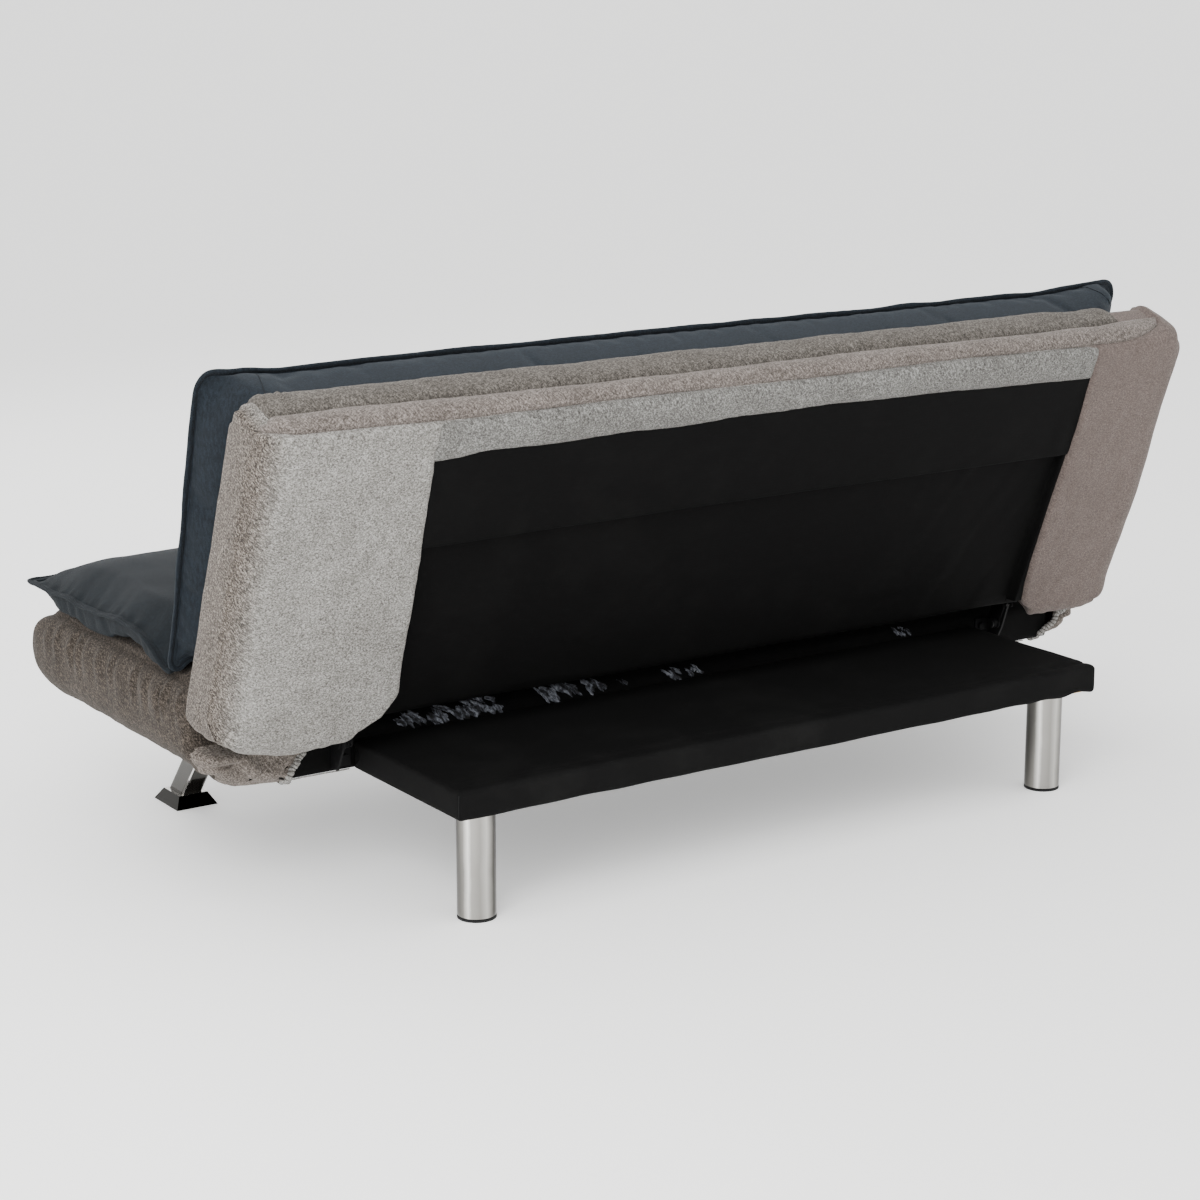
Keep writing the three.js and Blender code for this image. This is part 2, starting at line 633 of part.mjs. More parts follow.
function rearLeg(name, side) {
  const place = [side * REAR_LEG_X, REAR_LEG_Y];
  const outer = REAR_LEG_D / 2;
  const inner = outer - TUBE_T;
  const topZ = rearPlateTopZ - PLATE_T - GAP;
  const standing = (steps) => {
    const profile = steps.map(([radius, z]) => new THREE.Vector2(radius, z));
    return new THREE.LatheGeometry(profile, 32).rotateX(Math.PI / 2).translate(...place, 0);
  };
  const tube = standing([
    [inner, CAP_T + GAP],
    [outer, CAP_T + GAP],
    [outer, topZ],
    [inner, topZ],
    [inner, CAP_T + GAP],
  ]);
  const cap = standing([
    [0, 0],
    [outer, 0],
    [outer, CAP_T],
    [inner - GAP, CAP_T],
    [inner - GAP, CAP_T + CAP_PLUG_H],
    [0, CAP_T + CAP_PLUG_H],
  ]);
  const plate = standing([
    [0, topZ + GAP],
    [outer, topZ + GAP],
    [outer, rearPlateTopZ],
    [STUD_D / 2, rearPlateTopZ],
    [STUD_D / 2, rearPlateTopZ + STUD_L],
    [0, rearPlateTopZ + STUD_L],
  ]);
  add(`rear_leg_${name}`, tube, CHROME);
  add(`rear_leg_cap_${name}`, cap, PLASTIC);
  add(`rear_leg_plate_${name}`, plate, STEEL);
}

// A block whose top is smaller than its base, standing on Z = 0.
function tapered(base, top, height) {
  const geometry = new THREE.BoxGeometry(base[0], base[1], height).translate(0, 0, height / 2);
  const position = geometry.attributes.position;
  for (let i = 0; i < position.count; i++) {
    if (position.getZ(i) < height / 2) continue;
    position.setX(i, (position.getX(i) * top[0]) / base[0]);
    position.setY(i, (position.getY(i) * top[1]) / base[1]);
  }
  return geometry;
}

function roundedRectangle(width, depth, radius) {
  const corners = [
    [-width / 2, -depth / 2, radius],
    [width / 2, -depth / 2, radius],
    [width / 2, depth / 2, radius],
    [-width / 2, depth / 2, radius],
  ];
  return roundedShape(corners, 3);
}

function frontLeg(name, side) {
  const x = side * LEG_RAIL_X;
  const depth = FRONT_LEG_DEPTH / Math.cos(FRONT_LEG_LEAN);
  const bore = [FRONT_LEG_W - 2 * TUBE_T, depth - 2 * TUBE_T, FRONT_LEG_ROUND - TUBE_T];
  const section = roundedRectangle(FRONT_LEG_W, depth, FRONT_LEG_ROUND);
  section.holes.push(roundedRectangle(...bore));
  const height = legTopZ - footTopZ;
  const lean = new THREE.Matrix4().makeShear(0, 0, 0, 0, 0, Math.tan(FRONT_LEG_LEAN));
  const tube = new THREE.ExtrudeGeometry(section, { depth: height, bevelEnabled: false }).applyMatrix4(lean);
  add(`front_leg_${name}`, tube.translate(x, -FRONT_FOOT_Y, footTopZ), CHROME);
  const foot = tapered([FOOT_BASE_X, FOOT_BASE_Y], [FOOT_TOP_X, FOOT_TOP_Y], FOOT_H);
  add(`front_foot_${name}`, foot.translate(x, -FRONT_FOOT_Y, 0), CHROME);
  const plate = box(
    [x - LEG_PLATE_X / 2, x + LEG_PLATE_X / 2],
    [legTopY - LEG_PLATE_Y / 2, legTopY + LEG_PLATE_Y / 2],
    [legPlateTopZ - PLATE_T, legPlateTopZ],
  );
  add(`front_leg_plate_${name}`, join(plate, stud(x, legTopY, legPlateTopZ - 1)), STEEL);
}

// ---- Hinges

const headCentre = new THREE.Vector2(HINGE_Y, HINGE_Z);
const pawlCentre = new THREE.Vector2(PAWL_Y, PAWL_Z);
const pawlReach = headCentre.distanceTo(pawlCentre);
const pawlTip = pawlReach - HEAD_R + NOTCH_DEPTH - PAWL_TIP_CLEAR;
const fixedPlate = (side) => [side * (BRACKET_X + GAP), side * (BRACKET_X + GAP + BRACKET_T)];
const movingPlate = (side) => [side * (BRACKET_X - BRACKET_T), side * BRACKET_X];

// A bolt along Y or X: a hexagonal head with its shank joined on.
function bolt(axis, headSpan, shankSpan, centre) {
  const head = bar(axis, BOLT_HEAD_D, headSpan, centre, 6);
  return join(head, bar(axis, BOLT_D, shankSpan, centre, 12));
}

// A headed pin through both plates of a hinge, with room inside for a spring of the given length.
function pin(side, diameter, headDiameter, room, centre) {
  const inner = BRACKET_X - BRACKET_T - GAP - room;
  const outer = BRACKET_X + GAP + BRACKET_T + GAP;
  const shank = diameter / 2;
  const head = headDiameter / 2;
  const steps = [
    [0, inner - PIN_HEAD_T],
    [head, inner - PIN_HEAD_T],
    [head, inner],
    [shank, inner],
    [shank, outer],
    [head, outer],
    [head, outer + PIN_HEAD_T],
    [0, outer + PIN_HEAD_T],
  ];
  const made = turned(steps, centre);
  return side > 0 ? made : made.rotateZ(Math.PI).translate(0, 2 * centre[0], 0);
}

const coilRoom = COIL_TURNS * COIL_PITCH + COIL_WIRE + 2 * GAP;

function seatBracket(side) {
  const web = new THREE.Shape([
    new THREE.Vector2(platformFrontY, FLANGE_BOTTOM_Z),
    new THREE.Vector2(PAWL_Y - 8, FLANGE_BOTTOM_Z),
    new THREE.Vector2(PAWL_Y + 12, PAWL_Z - 6),
    new THREE.Vector2(HINGE_Y - 2, HINGE_Z - LOBE_R - 8),
    new THREE.Vector2(HINGE_Y + LOBE_R - 4, HINGE_Z - LOBE_R + 4),
    new THREE.Vector2(HINGE_Y - LOBE_R + 1, HINGE_Z + 6),
    new THREE.Vector2(platformFrontY, FLANGE_TOP_Z),
  ]);
  const lobe = bar("x", 2 * LOBE_R, fixedPlate(side), [HINGE_Y, HINGE_Z], 24);
  const outerX = BRACKET_X + GAP + BRACKET_T;
  const flangeZ = [FLANGE_BOTTOM_Z, FLANGE_TOP_Z];
  const flange = box([side * (outerX - FLANGE_W), side * outerX], [platformFrontY, flangeRearY], flangeZ);
  const far = [side * BRACKET_X - FLANGE_W, side * BRACKET_X + FLANGE_W];
  const holes = [
    bar("x", PIN_D + 2 * GAP, far, [HINGE_Y, HINGE_Z], 20),
    bar("x", PAWL_PIN_D + 2 * GAP, far, [PAWL_Y, PAWL_Z], 20),
    ...SEAT_BOLT_Z.map((z) => seatBoltShank(side, z, 2 * GAP)),
  ];
  return cut(join(prism(web, fixedPlate(side)), lobe, flange), ...holes);
}

// The moving plate in the backrest's frame: a round head with a notch for each stop, and an arm up the frame.
function backBracket(side) {
  const toPawl = pawlCentre.clone().sub(headCentre).rotateAround(new THREE.Vector2(), RECLINE_REST).angle();
  const headPoints = [];
  const floorR = HEAD_R - NOTCH_DEPTH;
  const mouth = Math.asin(NOTCH_MOUTH / HEAD_R);
  const floor = Math.asin(NOTCH_FLOOR / floorR);
  const at = (radius, angle) => new THREE.Vector2(Math.cos(angle) * radius, Math.sin(angle) * radius);
  const notches = RECLINE_STOPS.map((stop) => toPawl + stop);
  notches.forEach((angle, i) => {
    const next = i + 1 < notches.length ? notches[i + 1] : notches[0] + 2 * Math.PI;
    headPoints.push(at(HEAD_R, angle - mouth), at(floorR, angle - floor), at(floorR, angle + floor));
    const from = angle + mouth;
    const to = next - mouth;
    const steps = Math.max(2, Math.round((to - from) / RIM_STEP));
    for (let k = 0; k < steps; k++) headPoints.push(at(HEAD_R, from + ((to - from) * k) / steps));
  });
  const arm = new THREE.Shape([
    new THREE.Vector2(-HEAD_R * 0.7, HEAD_R * 0.6),
    new THREE.Vector2(HEAD_R * 0.9, HEAD_R * 0.3),
    new THREE.Vector2(BACK_ARM_REAR, BACK_RAIL_BOTTOM),
    new THREE.Vector2(BACK_ARM_REAR, BACK_ARM_TOP),
    new THREE.Vector2(-BACK_ARM_FRONT, BACK_ARM_TOP),
    new THREE.Vector2(-BACK_ARM_FRONT, BACK_RAIL_BOTTOM + 5),
  ]);
  const far = [side * BRACKET_X - FLANGE_W, side * BRACKET_X + FLANGE_W];
  const holes = [
    bar("x", PIN_D + 2 * GAP, far, [0, 0], 20),
    ...BACK_BOLT_Z.map((z) => bar("x", BOLT_D + 2 * GAP, far, [BACK_BOLT_Y, z], 12)),
  ];
  const plate = join(prism(new THREE.Shape(headPoints), movingPlate(side)), prism(arm, movingPlate(side)));
  return cut(plate, ...holes);
}

function pawl(side) {
  const ahead = headCentre.clone().sub(pawlCentre).normalize();
  const across = new THREE.Vector2(-ahead.y, ahead.x);
  const at = (along, off) => pawlCentre.clone().addScaledVector(ahead, along).addScaledVector(across, off);
  const arm = PAWL_ARM_W / 2;
  const tip = PAWL_TIP_W / 2;
  const outline = [
    at(0, arm),
    at(0, -arm),
    at(pawlTip - PAWL_TOOTH_L, -arm),
    at(pawlTip, -tip),
    at(pawlTip, tip),
    at(pawlTip - PAWL_TOOTH_L, arm),
  ];
  const boss = bar("x", 2 * PAWL_BOSS_R, movingPlate(side), [PAWL_Y, PAWL_Z], 20);
  const far = [side * BRACKET_X - FLANGE_W, side * BRACKET_X + FLANGE_W];
  const bore = bar("x", PAWL_PIN_D + 2 * GAP, far, [PAWL_Y, PAWL_Z], 20);
  return cut(join(prism(new THREE.Shape(outline), movingPlate(side)), boss), bore);
}

class Helix extends THREE.Curve {
  getPoint(t, target = new THREE.Vector3()) {
    const turns = t * COIL_TURNS;
    const angle = turns * 2 * Math.PI;
    const along = (turns - COIL_TURNS / 2) * COIL_PITCH;
    return target.set(along, Math.cos(angle) * COIL_R, Math.sin(angle) * COIL_R);
  }
}

function pawlSpring(side) {
  const section = new THREE.Shape();
  section.absarc(0, 0, COIL_WIRE / 2, 0, 2 * Math.PI);
  const coil = new THREE.ExtrudeGeometry(section, { steps: 36, curveSegments: 3, extrudePath: new Helix() });
  const middle = BRACKET_X - BRACKET_T - GAP - coilRoom / 2;
  return coil.translate(side * middle, PAWL_Y, PAWL_Z);
}

function hinge(name, side) {
  add(`seat_bracket_${name}`, seatBracket(side), STEEL);
  add(`back_bracket_${name}`, backBracket(side), STEEL, backrest);
  add(`hinge_pin_${name}`, pin(side, PIN_D, PIN_HEAD_D, 0, [HINGE_Y, HINGE_Z]), STEEL);
  add(`pawl_${name}`, pawl(side), STEEL);
  add(`pawl_pin_${name}`, pin(side, PAWL_PIN_D, 2 * COIL_R, coilRoom, [PAWL_Y, PAWL_Z]), STEEL);
  add(`pawl_spring_${name}`, pawlSpring(side), STEEL);
  SEAT_BOLT_Z.forEach((z, i) => {
    const head = [flangeRearY + GAP, flangeRearY + GAP + BOLT_HEAD_T];
    const made = bolt("y", head, [seatBoltTipY, head[1] - 1], [seatBoltX(side), z]);
    add(`seat_bracket_bolt_${i + 1}_${name}`, made, STEEL);
  });
  BACK_BOLT_Z.forEach((z, i) => {
    const face = BRACKET_X + GAP;
    const tip = BRACKET_X - BRACKET_T - BACK_BOLT_GRIP;
    const head = [side * face, side * (face + BOLT_HEAD_T)];
    const made = bolt("x", head, [side * tip, side * (face + 1)], [BACK_BOLT_Y, z]);
    add(`back_bracket_bolt_${i + 1}_${name}`, made, STEEL, backrest);
  });
}

// ---- Backrest, in its own frame

const stileOuterX = BRACKET_X - BRACKET_T - GAP;
const stileInnerX = stileOuterX - RAIL_W;
const backCorners = [
  [-BACK_FRONT, -BACK_BOTTOM, BACK_BOTTOM_ROUND],
  [BACK_REAR, -BACK_BOTTOM, BACK_BOTTOM_ROUND],
  [BACK_REAR, BACK_TOP, BACK_TOP_REAR_ROUND],
  [-BACK_FRONT, BACK_TOP, BACK_TOP_FRONT_ROUND],
];

function backFrame() {
  const depth = [0, FRAME_T];
  const topRail = [BACK_RAIL_TOP - RAIL_W, BACK_RAIL_TOP];
  add("back_top_rail", box([-FRAME_HALF_X, FRAME_HALF_X], depth, topRail), TIMBER, backrest);
  const between = stileInnerX - GAP;
  const bottomRail = [BACK_RAIL_BOTTOM, BACK_RAIL_BOTTOM + RAIL_W];
  add("back_bottom_rail", box([-between, between], [0, LOWER_RAIL_T], bottomRail), TIMBER, backrest);
  for (const [name, side] of SIDES) {
    const stile = box([side * stileInnerX, side * stileOuterX], depth, [BACK_RAIL_BOTTOM, topRail[0] - GAP]);
    const bored = [side * (BRACKET_X - BRACKET_T - BACK_BOLT_GRIP - GAP), side * BRACKET_X];
    const holes = BACK_BOLT_Z.map((z) => bar("x", BOLT_D + 2 * GAP, bored, [BACK_BOLT_Y, z], 12));
    add(`back_${name}_stile`, cut(stile, ...holes), TIMBER, backrest);
    const outriggerX = [side * (stileOuterX + GAP), side * FRAME_HALF_X];
    const outrigger = box(outriggerX, depth, [OUTRIGGER_TOP - RAIL_W, OUTRIGGER_TOP]);
    add(`back_${name}_outrigger`, outrigger, TIMBER, backrest);
  }
  const springs = springDeck(BACK_RAIL_BOTTOM + RAIL_W - SPRING_LAP, topRail[0] + SPRING_LAP);
  add("back_spring_deck", springs.rotateX(Math.PI / 2).translate(0, -GAP, 0), STEEL, backrest);
}

function hingeRooms() {
  return SIDES.flatMap(([, side]) => {
    const x = [side * HINGE_ROOM_IN, side * HINGE_ROOM_OUT];
    return [
      box(x, [-HINGE_ROOM_FRONT, FAR], [-FAR, 0]),
      box(x, [-HINGE_ROOM_FRONT, BACK_REAR - COVER_T], [-FAR, HINGE_ROOM_TOP]),
    ];
  });
}

function backUpholstery() {
  const skin = longBody(backCorners, HALF, BACK_END_ROUND);
  const inside = skinInside(backCorners, HALF, BACK_END_ROUND, COVER_T);
  const openX = [-HINGE_ROOM_OUT, HINGE_ROOM_OUT];
  const openBottom = box(openX, [-BACK_FRONT + COVER_T, BACK_REAR - COVER_T], [-FAR, 0]);
  const lowX = WINDOW_HALF_X - WINDOW_TAPER;
  const edge = [
    [WINDOW_HALF_X, WINDOW_TOP],
    [lowX, WRAP_CORNER - BACK_BOTTOM],
    [lowX + WRAP_CORNER, -BACK_BOTTOM - 1],
    [lowX + WRAP_CORNER, -FAR],
  ];
  const mirrored = edge.map(([x, z]) => [-x, z]).reverse();
  const window = slab([...edge, ...mirrored], [0, FAR]);
  add("back_cover", cut(skin, inside, openBottom, window, ...hingeRooms()), GREY_FABRIC, backrest);

  const block = skinInside(backCorners, HALF, BACK_END_ROUND, COVER_T + GAP);
  const topRoom = BACK_RAIL_TOP + 1;
  const endRoom = FRAME_HALF_X + 1;
  const depth = [-1, FRAME_T + 1];
  const rooms = [
    box([-HINGE_ROOM_OUT, HINGE_ROOM_OUT], [-SPRING_ROOM, FAR], [-FAR, topRoom]),
    box([-endRoom, endRoom], depth, [BACK_RAIL_TOP - RAIL_W - 1, topRoom]),
    box([-endRoom, endRoom], depth, [OUTRIGGER_TOP - RAIL_W - 1, OUTRIGGER_TOP + 1]),
  ];
  add("back_foam", cut(block, ...rooms, ...hingeRooms()), FOAM, backrest);

  const panelY = [FRAME_T + GAP, FRAME_T + GAP + PANEL_T];
  const panel = box([-PANEL_HALF_X, PANEL_HALF_X], panelY, [PANEL_BOTTOM, BACK_RAIL_TOP]);
  add("back_upper_panel", panel, BLACK_LINING, backrest);
  const dustX = stileInnerX - GAP;
  const dustY = [LOWER_RAIL_T + GAP, LOWER_RAIL_T + GAP + BACK_DUST_T];
  const dustCover = box([-dustX, dustX], dustY, [BACK_DUST_BOTTOM, BACK_DUST_TOP]);
  add("back_dust_cover", dustCover, BLACK_LINING, backrest);

  const outline = BACK_PAD_OUTLINE.map(([forward, up]) => [
    THREE.MathUtils.lerp(-BACK_FRONT - GAP, -BACK_PAD_CROWN, forward),
    THREE.MathUtils.lerp(BACK_PAD_BOTTOM, BACK_PAD_TOP, up),
  ]);
  const seam = [-BACK_PAD_SEAM_BOTTOM, -BACK_PAD_SEAM_TOP];
  const drawnIn = ([y, z], _, crown) => {
    const seamY = THREE.MathUtils.mapLinear(z, BACK_PAD_BOTTOM, BACK_PAD_TOP, ...seam);
    return [y < seamY ? seamY + (y - seamY) * crown : y, z];
  };
  add("back_pad", pad(outline, drawnIn), BLUE_FABRIC, backrest);
}

seat();
platform();
for (const [name, side] of SIDES) {
  rearLeg(name, side);
  frontLeg(name, side);
  hinge(name, side);
}
backFrame();
backUpholstery();

export default futon;
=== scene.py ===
# A three-seat click-clack futon sofa bed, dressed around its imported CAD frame. Metres, +Z up.
# The seat faces -Y, the length runs along X, and the camera looks at the rear.
import math

import bpy
import numpy as np
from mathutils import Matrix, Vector


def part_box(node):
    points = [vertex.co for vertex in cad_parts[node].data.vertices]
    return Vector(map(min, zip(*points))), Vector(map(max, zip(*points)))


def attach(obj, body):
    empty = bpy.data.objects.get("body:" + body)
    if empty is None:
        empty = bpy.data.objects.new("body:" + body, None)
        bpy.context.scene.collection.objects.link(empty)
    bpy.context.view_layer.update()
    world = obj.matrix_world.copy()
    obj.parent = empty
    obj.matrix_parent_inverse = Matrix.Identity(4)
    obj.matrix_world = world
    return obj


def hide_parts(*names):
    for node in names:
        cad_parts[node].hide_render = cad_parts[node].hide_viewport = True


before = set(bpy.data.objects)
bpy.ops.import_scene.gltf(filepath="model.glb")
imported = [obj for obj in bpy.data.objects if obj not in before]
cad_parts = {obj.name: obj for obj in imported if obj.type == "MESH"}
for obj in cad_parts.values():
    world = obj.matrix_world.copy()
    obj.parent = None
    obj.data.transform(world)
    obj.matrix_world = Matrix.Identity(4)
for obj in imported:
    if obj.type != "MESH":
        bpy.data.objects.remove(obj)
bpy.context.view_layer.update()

MM = 0.001
HALF = 900  # half the sofa's length, mm
HINGE = (214, 290)  # y and z of the recline hinge, mm
REST = math.radians(21.3)  # the backrest's lean when upright


# ---- Camera

def add_camera():
    data = bpy.data.cameras.new("camera")
    data.sensor_width = 36
    data.lens = 82.74
    camera = bpy.data.objects.new("camera", data)
    bpy.context.scene.collection.objects.link(camera)
    camera.location = (2.58365, 3.75860, 1.45751)
    toward = Vector((-0.5403, -0.8061, -0.2415))
    camera.rotation_euler = toward.to_track_quat("-Z", "Y").to_euler()
    bpy.context.scene.camera = camera


# ---- Shader nodes

class Nodes:
    """Builds one material's node tree."""

    def __init__(self, name):
        self.material = bpy.data.materials.new(name)
        self.material.use_nodes = True
        self.tree = self.material.node_tree
        self.shader = self.tree.nodes["Principled BSDF"]

    def add(self, kind, **values):
        node = self.tree.nodes.new(kind)
        for key, value in values.items():
            setattr(node, key, value)
        return node

    def link(self, source, target):
        self.tree.links.new(source, target)

    def value(self, socket, source):
        """Feeds a socket from another one, or sets it."""
        if isinstance(source, bpy.types.NodeSocket):
            self.link(source, socket)
        else:
            socket.default_value = source

    def place(self, scale=(1, 1, 1), turn=(0, 0, 0)):
        coordinates = self.add("ShaderNodeTexCoord")
        mapping = self.add("ShaderNodeMapping", vector_type="TEXTURE")
        mapping.inputs["Scale"].default_value = [1 / value for value in scale]
        mapping.inputs["Rotation"].default_value = turn
        self.link(coordinates.outputs["Object"], mapping.inputs["Vector"])
        return mapping.outputs["Vector"]

    def noise(self, vector, scale, detail=2.0, roughness=0.5, distortion=0.0):
        node = self.add("ShaderNodeTexNoise")
        self.link(vector, node.inputs["Vector"])
        node.inputs["Scale"].default_value = scale
        node.inputs["Detail"].default_value = detail
        node.inputs["Roughness"].default_value = roughness
        node.inputs["Distortion"].default_value = distortion
        return node.outputs["Fac"]

    def wave(self, vector, scale, distortion=0.0, detail_scale=1.0, direction="X", profile="SIN"):
        node = self.add("ShaderNodeTexWave", bands_direction=direction, wave_profile=profile)
        self.link(vector, node.inputs["Vector"])
        node.inputs["Scale"].default_value = scale
        node.inputs["Distortion"].default_value = distortion
        node.inputs["Detail Scale"].default_value = detail_scale
        return node.outputs["Fac"]

    def cells(self, vector, scale, feature="F1", randomness=1.0):
        node = self.add("ShaderNodeTexVoronoi", feature=feature)
        self.link(vector, node.inputs["Vector"])
        node.inputs["Scale"].default_value = scale
        node.inputs["Randomness"].default_value = randomness
        return node.outputs["Distance"]

    def ramp(self, source, stops):
        node = self.add("ShaderNodeValToRGB")
        self.link(source, node.inputs["Fac"])
        elements = node.color_ramp.elements
        while len(elements) < len(stops):
            elements.new(0.5)
        for element, (position, colour) in zip(elements, stops):
            element.position = position
            element.color = tone(colour)
        return node.outputs["Color"]

    def math(self, operation, a, b=0.0, clamp=False):
        node = self.add("ShaderNodeMath", operation=operation, use_clamp=clamp)
        self.value(node.inputs[0], a)
        self.value(node.inputs[1], b)
        return node.outputs[0]

    def mix(self, factor, a, b, blend="MIX"):
        node = self.add("ShaderNodeMix", data_type="RGBA", blend_type=blend)
        self.value(node.inputs["Factor"], factor)
        self.value(node.inputs["A"], tone(a) if isinstance(a, tuple) else a)
        self.value(node.inputs["B"], tone(b) if isinstance(b, tuple) else b)
        return node.outputs["Result"]

    def bump(self, height, strength, distance, below=None):
        node = self.add("ShaderNodeBump")
        node.inputs["Strength"].default_value = strength
        node.inputs["Distance"].default_value = distance
        self.link(height, node.inputs["Height"])
        if below is not None:
            self.link(below, node.inputs["Normal"])
        return node.outputs["Normal"]

    def finish(self, colour, roughness, normal=None, **values):
        shader = self.shader.inputs
        self.value(shader["Base Color"], tone(colour) if isinstance(colour, tuple) else colour)
        self.value(shader["Roughness"], roughness)
        if normal is not None:
            self.link(normal, shader["Normal"])
        for key, value in values.items():
            shader[key.replace("_", " ")].default_value = value
        return self.material


def tone(colour):
    """A display colour from 0 to 255 as the linear colour that shaders take."""
    def linear(value):
        value /= 255
        return value / 12.92 if value <= 0.04045 else ((value + 0.055) / 1.055) ** 2.4
    return (*[linear(value) for value in colour[:3]], 1.0)


def chenille(name, light, middle, dark, turn=(0.5, 0.8, 0), sheen=0.18, ends=False):
    """Heathered chenille: short tufts of three tones on a diagonal weave, with a nap that shades in patches."""
    n = Nodes(name)
    plain = n.place()
    fine = n.noise(plain, 560, 3, 0.62)
    grain = n.noise(n.place((1, 1, 0.34), turn), 410, 3, 0.6, 0.3)
    cross = n.noise(n.place((1, 1, 0.36), (turn[0], turn[1] - 1.7, 0)), 460, 2, 0.55)
    cloudy = n.noise(plain, 9, 4, 0.6)
    patches = n.noise(plain, 34, 3, 0.6)
    spread = 0.085
    tufted = n.math("ADD", n.math("MULTIPLY", fine, 0.34), n.math("MULTIPLY", grain, 0.40))
    tufted = n.math("ADD", tufted, n.math("MULTIPLY", cross, 0.26))
    colour = n.ramp(tufted, [(0.5 - spread * 1.2, dark), (0.5, middle), (0.5 + spread, light)])
    shade = n.ramp(n.math("ADD", n.math("MULTIPLY", cloudy, 0.5), n.math("MULTIPLY", patches, 0.5)),
                   [(0.36, (214, 212, 210)), (0.62, (255, 255, 255))])
    colour = n.mix(0.75, colour, shade, "MULTIPLY")
    if ends:
        # Painted shade: the end face at +X is painted darker and browner with a coarse speckle, and the left wrap is
        # painted darker and browner, as painted shade where the light falls off.
        split = n.add("ShaderNodeSeparateXYZ")
        n.link(plain, split.inputs[0])
        x = split.outputs[0]
        far = n.math("MULTIPLY", n.math("SUBTRACT", x, 0.876), 36.0, True)
        speckle = n.ramp(n.math("ADD", n.math("MULTIPLY", fine, 0.5), n.math("MULTIPLY", grain, 0.5)),
                         [(0.43, (92, 76, 67)), (0.5, (164, 149, 139)), (0.58, (226, 216, 208))])
        colour = n.mix(n.math("MULTIPLY", far, 0.95), colour, speckle, "MULTIPLY")
        left = n.math("MULTIPLY", n.math("SUBTRACT", -0.55, x), 12.0, True)
        colour = n.mix(n.math("MULTIPLY", left, 0.35), colour, (140, 138, 135))
        colour = n.mix(left, colour, (184, 167, 163), "MULTIPLY")
    weave = n.wave(n.place((1, 1, 1), turn), 230, 1.6, 2.0, "X")
    low = n.bump(weave, 0.30, 0.0012)
    middle_bump = n.bump(n.math("ADD", grain, cross), 0.6, 0.0018, low)
    normal = n.bump(fine, 0.5, 0.0012, middle_bump)
    return n.finish(colour, 0.92, normal, Sheen_Weight=sheen, Sheen_Roughness=0.45,
                    Sheen_Tint=tone((214, 208, 202)), Specular_IOR_Level=0.25)


def twill(name, light, middle, dark, sheen=0.12):
    """Tightly woven, slightly brushed upholstery twill."""
    n = Nodes(name)
    place = n.place()
    fine = n.noise(place, 700, 2, 0.6)
    grain = n.noise(n.place((1, 1, 0.35)), 260, 3, 0.6)
    cloudy = n.noise(place, 12, 4, 0.6)
    mixed = n.math("ADD", n.math("MULTIPLY", fine, 0.5), n.math("MULTIPLY", grain, 0.5))
    colour = n.ramp(mixed, [(0.34, dark), (0.5, middle), (0.66, light)])
    colour = n.mix(0.6, colour, n.ramp(cloudy, [(0.35, (220, 222, 224)), (0.65, (255, 255, 255))]), "MULTIPLY")
    warp = n.wave(n.place((1, 1, 1), (0, 0, 0.785)), 330, 0.6, 3.0, "DIAGONAL")
    normal = n.bump(fine, 0.3, 0.0007, n.bump(warp, 0.22, 0.0008))
    return n.finish(colour, 0.88, normal, Sheen_Weight=sheen, Sheen_Roughness=0.5,
                    Sheen_Tint=tone((150, 160, 170)), Specular_IOR_Level=0.2)


def nonwoven(name, base, dusty):
    """Black spun-bond lining: a fine embossed dot grid, faint streaks and a little dust."""
    n = Nodes(name)
    place = n.place()
    dots = n.cells(place, 520, "F1", 0.15)
    fibres = n.noise(n.place((1, 1, 0.3)), 320, 4, 0.7)
    cloudy = n.noise(place, 7, 5, 0.62, 0.3)
    dust = n.noise(place, 60, 5, 0.75, 0.5)
    smear = n.math("MULTIPLY", n.ramp(cloudy, [(0.48, (0, 0, 0)), (0.72, (255, 255, 255))]), dust, True)
    colour = n.mix(n.math("MULTIPLY", smear, 0.55), base, dusty)
    colour = n.mix(0.5, colour, n.ramp(fibres, [(0.3, (175, 175, 175)), (0.7, (255, 255, 255))]), "MULTIPLY")
    normal = n.bump(fibres, 0.25, 0.0006, n.bump(dots, 0.3, 0.0006))
    rough = n.math("ADD", n.math("MULTIPLY", fibres, 0.12), 0.78)
    return n.finish(colour, rough, normal, Specular_IOR_Level=0.09)


# Painted reflection tones for the chrome: a display tone for each compass direction, in degrees, that a face can point.
ROUND_PAINTED_REFLECTION = [(-180, 110), (-120, 180), (-60, 76), (-34, 40), (-12, 80), (18, 138), (34, 232), (44, 160),
                (70, 142), (90, 180), (104, 136), (118, 66), (146, 104), (180, 110)]
SQUARE_PAINTED_REFLECTION = [(-180, 60), (-110, 170), (-50, 90), (-8, 46), (14, 60), (34, 250), (56, 250), (74, 70), (104, 56),
                 (140, 140), (180, 60)]
FOOT_PAINTED_REFLECTION = [(-180, 60), (-90, 150), (-30, 26), (10, 16), (34, 190), (56, 190), (80, 16), (120, 24), (180, 60)]


